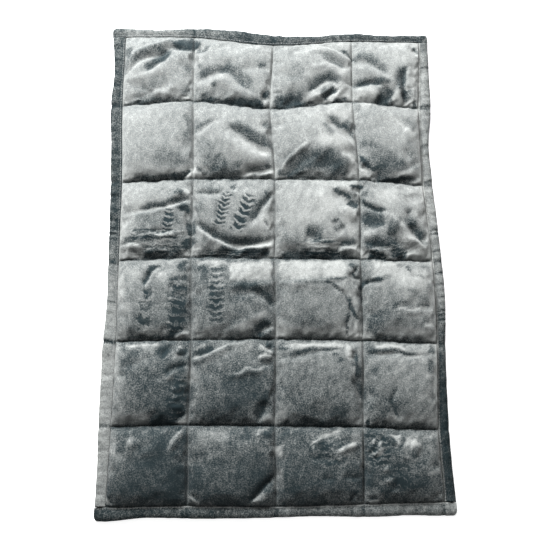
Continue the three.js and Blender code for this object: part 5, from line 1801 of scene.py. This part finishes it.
def swept_strip(name, inner, outer, openings, pinches):
    """Closed strip through stations whose inner and outer plan points are given in millimetres."""
    waver = [np.array([noise.noise((*p / size, 4.0)) for p in outer]) for size, _, _ in WAVERS]
    swing = sum(edge * w for (_, edge, _), w in zip(WAVERS, waver)) - pinches
    puff = sum(face * w for (_, _, face), w in zip(WAVERS, waver)) - PINCH_DEPTH * pinches
    rings = []
    for k in range(len(inner)):
        share, height = binding_section(openings[k]).T
        swinging = np.clip(SWING_GAIN * share - SWING_START, 0, 1)
        puffing = np.clip(PUFF_GAIN * share, LEAST_PUFF, 1) * (height > SLOT_MIDDLE + SLOT_HALF)
        reach = share + swinging * SWING_SHARE * swing[k]
        place = inner[k] + (outer[k] - inner[k]) * reach[:, None]
        rings.append(np.column_stack([place, height + puff[k] * puffing]))
    ring = np.arange(SECTION_SIZE)
    following = (ring + 1) % SECTION_SIZE
    faces = []
    for start in SECTION_SIZE * np.arange(len(rings) - 1):
        end = start + SECTION_SIZE
        faces += np.stack([start + ring, end + ring, end + following, start + following], 1).tolist()
    final = SECTION_SIZE * (len(rings) - 1)
    faces += [ring.tolist(), (final + ring)[::-1].tolist()]
    return mesh_object(name, np.concatenate(rings) * MM, faces)


def stations_between(first, last, length):
    """Evenly spaced line numbers, about one station apart over a length in millimetres."""
    return np.linspace(first, last, int(length / STATION))


def side_strip(name, outer_line, inner_line):
    b = stations_between(1 + END_GAP, ROWS + 1 - END_GAP, 2 * HALF_LENGTH)
    if outer_line > inner_line:
        b = b[::-1]
    lip = inner_line + (outer_line - inner_line) * LIP_INSET
    inner = np.stack(plan(np.full(len(b), lip), b), 1)
    outer = np.stack(plan(np.full(len(b), float(outer_line)), b), 1)
    return swept_strip(name, inner, outer, np.ones(len(b)), np.maximum(pinched(b), creased(name, b))), b


binding_left, left_places = side_strip("left_binding", 0, 1)
binding_right, right_places = side_strip("right_binding", COLUMNS + 2, COLUMNS + 1)
print("side strips:", [len(strip.data.polygons) for strip in (binding_left, binding_right)], "faces")

# %% End strips
CORNER_RADIUS = 4.5
# Line numbers of the stations at a corner.
CORNER_STATIONS = np.array([0, 0.02, 0.06, 0.12, 0.2, 0.3, 0.45, 0.6, 0.75, 0.9])
# Millimetres of an end that are sewn shut, and those over which the strip then opens.
SHUT_LENGTH = 2
OPENING_LENGTH = 3
END_PINCH = 0.5


def end_strip(name, outer_line, inner_line):
    middle = stations_between(1, COLUMNS + 1, 2 * HALF_WIDTH)
    a = np.concatenate([CORNER_STATIONS, middle, COLUMNS + 2 - CORNER_STATIONS[::-1]])
    if outer_line < inner_line:
        a = a[::-1]
    lip = inner_line + (outer_line - inner_line) * LIP_INSET
    inner = np.stack(plan(a, np.full(len(a), lip)), 1)
    outer = np.stack(plan(a, np.full(len(a), float(outer_line))), 1)
    from_end = np.minimum(np.abs(outer[:, 0] - outer[0, 0]), np.abs(outer[:, 0] - outer[-1, 0]))
    near = np.clip(from_end, 0, CORNER_RADIUS)
    inset = CORNER_RADIUS - np.sqrt(CORNER_RADIUS**2 - (CORNER_RADIUS - near) ** 2)
    outer += (inner - outer) * (inset / np.linalg.norm(inner - outer, axis=1))[:, None]
    openings = ease((from_end - SHUT_LENGTH) / OPENING_LENGTH)
    return swept_strip(name, inner, outer, openings, END_PINCH * pinched(a)), a


binding_head, head_places = end_strip("head_binding", 0, 1)
binding_foot, foot_places = end_strip("foot_binding", ROWS + 2, ROWS + 1)
print("end strips:", [len(strip.data.polygons) for strip in (binding_head, binding_foot)], "faces")

# %% [markdown]
# ## Plush of the binding
# The strips are cut from the same plush and rubbed this way and that in use. Their lean changes along each
# strip, with blotches a few millimetres wide and streaks across. Painted shade darkens a strip where a seam
# pinches it and where it is creased, and painted light helps the pressed lips of the right and foot strips.

# %% Lean of the binding's pile
# Lean along each strip at equal steps: from head to foot, or from left to right.
BINDING_LEANS = {
    "left_binding": [0.12, 0.08, 0.1, 0.08, 0.08, 0.14, 0.38, 0.44, 0.5, 0.5, 0.48, 0.44],
    "right_binding": [0.25, 0.48, 0.36, 0.4, 0.5, 0.42, 0.4, 0.18, 0.04, 0.02, 0.015, 0.02],
    "head_binding": [0.12, 0.16, 0.34, 0.18, 0.08, 0.08, 0.1, 0.09, 0.12, 0.25],
    "foot_binding": [0.015, 0.03, 0.06, 0.1, 0.14, 0.18, 0.22, 0.26, 0.32, 0.45],
}

# How much more the pile of the upper lip leans where the stitches press it down, partly painted light along
# the lip's edge.
PRESSED_LIPS_AND_LIGHT = {"right_binding": 0.4, "foot_binding": 0.22}

# Painted shade in a pinch: how much less it leans, and how far, as a share of a pocket.
PINCH_PAINTED_SHADE = 0.7
PINCH_SHADE = 0.025
# How wide a pressed lip is, as a share of the strip's width.
LIP_WIDTH = 0.1
# Painted shade in a crease: how dark it is, and how far it slants over the strip's width, as a share of a
# pocket.
CREASE_PAINTED_SHADE = 2.5
CREASE_SLANT = 0.03
LEAST_LEAN = 0.01
# How much the rubbing shows: less on pile that already lies flat.
MOST_RUBBED, RUB_LOSS, LEAST_RUB = 1.15, 2, 0.3
# Turns places in millimetres into those of a noise that is drawn out aslant.
STREAK_TURN = np.array([[0.16, -0.1], [0.22, 0.3]])


def rubbed_pile(points):
    """Streaks and blotches of a strip, from about -1 to 1."""
    turned = points[:, :2] @ STREAK_TURN
    streaky = np.array([noise.noise((*p, 7.0)) + 0.7 * noise.noise((*(2.3 * p), 1.0)) for p in turned])
    blotchy = np.array([noise.noise(p / 6) + 0.8 * noise.noise(p / 15) for p in points])
    return 0.6 * streaky + 0.5 * blotchy


def lean_binding(piece, places, first, last):
    base = smooth_through(BINDING_LEANS[piece.name], (places - first) / (last - first))
    # Painted shade where a seam pinches the strip.
    base = np.maximum(base, LEAST_LEAN) * (1 - PINCH_PAINTED_SHADE * pinched(places, PINCH_SHADE))
    base = np.repeat(base, SECTION_SIZE)
    points = np.array([v.co for v in piece.data.vertices]) / MM
    rubbed = np.exp(rubbed_pile(points) * np.clip(MOST_RUBBED - RUB_LOSS * base, LEAST_RUB, 1))
    share, height = np.tile(binding_section(1), (len(places), 1)).T
    lip = np.exp(-((share / LIP_WIDTH) ** 2)) * (height > SLOT_MIDDLE) * PRESSED_LIPS_AND_LIGHT.get(piece.name, 0)
    # Painted shade in the creases, and a pressed lip that is lighter, partly as painted light.
    creases = creased(piece.name, np.repeat(places, SECTION_SIZE), CREASE_SLANT * share)
    lean = np.clip(base * rubbed * np.exp(-CREASE_PAINTED_SHADE * creases) + lip, 0, 1)
    store_lean(piece, lean)
    print(piece.name, "leans by", round(lean.mean(), 2), "on average")


lean_binding(binding_left, left_places, 1, ROWS + 1)
lean_binding(binding_right, right_places, 1, ROWS + 1)
lean_binding(binding_head, head_places, 0, COLUMNS + 2)
lean_binding(binding_foot, foot_places, 0, COLUMNS + 2)

# %% Plush on the binding
BINDING_DARK = (0.003, 0.0097, 0.0122)
binding_plush = plush_material("binding_plush", BINDING_DARK, sheen=0.03, mottling=1.1)
for piece, node in [
    (binding_left, "binding_left"),
    (binding_right, "binding_right"),
    (binding_head, "binding_head"),
    (binding_foot, "binding_foot"),
]:
    piece.data.materials.append(binding_plush)
    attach(piece, "root")
    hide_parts(node)

# %% [markdown]
# ## Stitches
# A machine stitch is a short arch of thread that dips into the cloth at both ends. One arch is built from
# four small rings, and such arches are set along the seams and along the binding, on the upper and on the
# under side. All arches of one thread are one mesh, which is far lighter than a thousand objects.

# %% Arches of thread
STITCH_PITCH = 3.4
STITCH_LENGTH = 2.7
THREAD_RADIUS = 0.32
THREAD_SIDES = 5
UP = np.array([0, 0, 1])
# Rings of an arch: share of the way along the stitch, lift in thread radii.
ARCH = [(0, -1.6), (0.22, 0.5), (0.78, 0.5), (1, -1.6)]


def stitch_ends(line):
    """Start and end of every stitch along a line of points, in millimetres."""
    line = np.asarray(line, float)
    travelled = np.concatenate([[0], np.cumsum(np.linalg.norm(np.diff(line, axis=0), axis=1))])
    starts = np.arange(STITCH_PITCH / 2, travelled[-1] - STITCH_PITCH, STITCH_PITCH)
    return (
        np.stack([np.interp(places, travelled, line[:, k]) for k in range(3)], 1)
        for places in (starts, starts + STITCH_LENGTH)
    )


def arch_points(start, end, way):
    """Rings of one stitch; way is 1 on the upper side and -1 on the under side."""
    run = end - start
    side = np.cross(run / np.linalg.norm(run), UP)
    turn = np.arange(THREAD_SIDES)[:, None] * 2 * np.pi / THREAD_SIDES
    ring = THREAD_RADIUS * (np.cos(turn) * side + np.sin(turn) * UP)
    centres = [start + run * share + way * lift * THREAD_RADIUS * UP for share, lift in ARCH]
    return np.concatenate([centre + ring for centre in centres])


def arch_faces(first):
    """Faces of one stitch whose points are numbered from first on."""
    faces = []
    for ring in range(len(ARCH) - 1):
        start = first + ring * THREAD_SIDES
        for k in range(THREAD_SIDES):
            a, b = start + k, start + (k + 1) % THREAD_SIDES
            faces.append((a, a + THREAD_SIDES, b + THREAD_SIDES, b))
    final = first + (len(ARCH) - 1) * THREAD_SIDES
    faces.append(tuple(range(first, first + THREAD_SIDES)))
    faces.append(tuple(range(final + THREAD_SIDES - 1, final - 1, -1)))
    return faces


def thread_object(name, upper_lines, under_lines):
    arches, faces = [], []
    for lines, way in ((upper_lines, 1), (under_lines, -1)):
        for line in lines:
            for start, end in zip(*stitch_ends(line)):
                faces += arch_faces(len(arches) * len(ARCH) * THREAD_SIDES)
                arches.append(arch_points(start, end, way))
    return mesh_object(name, np.concatenate(arches) * MM, faces)


print("faces of one stitch:", len(arch_faces(0)))

# %% Lines of the stitches
# Lines along the binding: share of the strip's width, heights in millimetres.
STITCH_SHARE = 0.13
TOP_STITCHES = 6.35
UNDER_STITCHES = 0.55
# Short lines across the corners: line number, shares of the strip's width, height.
CORNER_LINE = 0.95
CORNER_RUN = np.linspace(0.25, 0.85, 8)
CORNER_STITCHES = 7.4


def quilting_lines():
    """Upper and under lines of all seams between pockets."""
    grid = upper.reshape(TALL, WIDE, 3)
    inner_rows = slice(FLANGE_STEPS, TALL - FLANGE_STEPS)
    inner_columns = slice(FLANGE_STEPS, WIDE - FLANGE_STEPS)
    tops = [grid[inner_rows, FLANGE_STEPS + STEPS * k] for k in range(1, COLUMNS)]
    tops += [grid[FLANGE_STEPS + STEPS * k, inner_columns] for k in range(1, ROWS)]
    return tops, [line - (0, 0, COVERS) for line in tops]


def level_line(a, b, height):
    """Points of one height along a line of the plan."""
    return np.column_stack([*plan(a, b), np.full(max(np.size(a), np.size(b)), height)])


def binding_lines():
    """Upper and under lines of the stitches that hold the binding, and across its corners."""
    a, b = grid_lines(COLUMNS)[::3], grid_lines(ROWS)[::3]
    a, b = a[(a >= 1) & (a <= COLUMNS + 1)], b[(b >= 1) & (b <= ROWS + 1)]
    tops, unders = [], []
    for height, lines in ((TOP_STITCHES, tops), (UNDER_STITCHES, unders)):
        lines += [level_line(line, b, height) for line in (1 - STITCH_SHARE, COLUMNS + 1 + STITCH_SHARE)]
        lines += [level_line(a, line, height) for line in (1 - STITCH_SHARE, ROWS + 1 + STITCH_SHARE)]
    for line in (CORNER_LINE, COLUMNS + 2 - CORNER_LINE):
        tops.append(level_line(line, 1 - CORNER_RUN, CORNER_STITCHES))
        tops.append(level_line(line, ROWS + 1 + CORNER_RUN, CORNER_STITCHES))
    return tops, unders


print("lines of stitches:", sum(map(len, (*quilting_lines(), *binding_lines()))))

# %% Threads
THREAD_ROUGHNESS = 0.6
# Noise of the twist: features in a metre, detail, roughness. It goes from a darker to a brighter tone.
TWIST = (1500, 2, 0.6)
TWIST_TONES = (0.6, 1.3)


def thread_twist_group():
    tree, given, result = new_group("thread_twist", ["Place"], [], ["Twist"])
    twist = noise_of(tree, given["Place"], *TWIST)
    tree.links.new(calculate(tree, "ADD", twist, 0.5), result["Twist"])
    return tree


THREAD_TWIST = thread_twist_group()


def thread_material(name, colour):
    material = plain_material(name, colour, THREAD_ROUGHNESS)
    tree = material.node_tree
    shader = tree.nodes["Principled BSDF"]
    twist = add_node(tree, "Group", node_tree=THREAD_TWIST)
    tree.links.new(add_node(tree, "TexCoord").outputs["Object"], twist.inputs["Place"])
    ramp = add_node(tree, "ValToRGB")
    for element, tone in zip(ramp.color_ramp.elements, TWIST_TONES):
        element.color = (*(tone * c for c in colour), 1)
    tree.links.new(twist.outputs["Twist"], ramp.inputs["Fac"])
    tree.links.new(ramp.outputs["Color"], shader.inputs["Base Color"])
    return material


for name, lines, colour, slot in [
    ("quilting_thread", quilting_lines(), (0.1, 0.106, 0.106), "pad_plush"),
    ("binding_thread", binding_lines(), (0.16, 0.168, 0.166), "binding_plush"),
]:
    thread = thread_object(name, *lines)
    thread.data.materials.append(thread_material(name, colour))
    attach(thread, "root")
    print(name, len(thread.data.polygons), "faces")
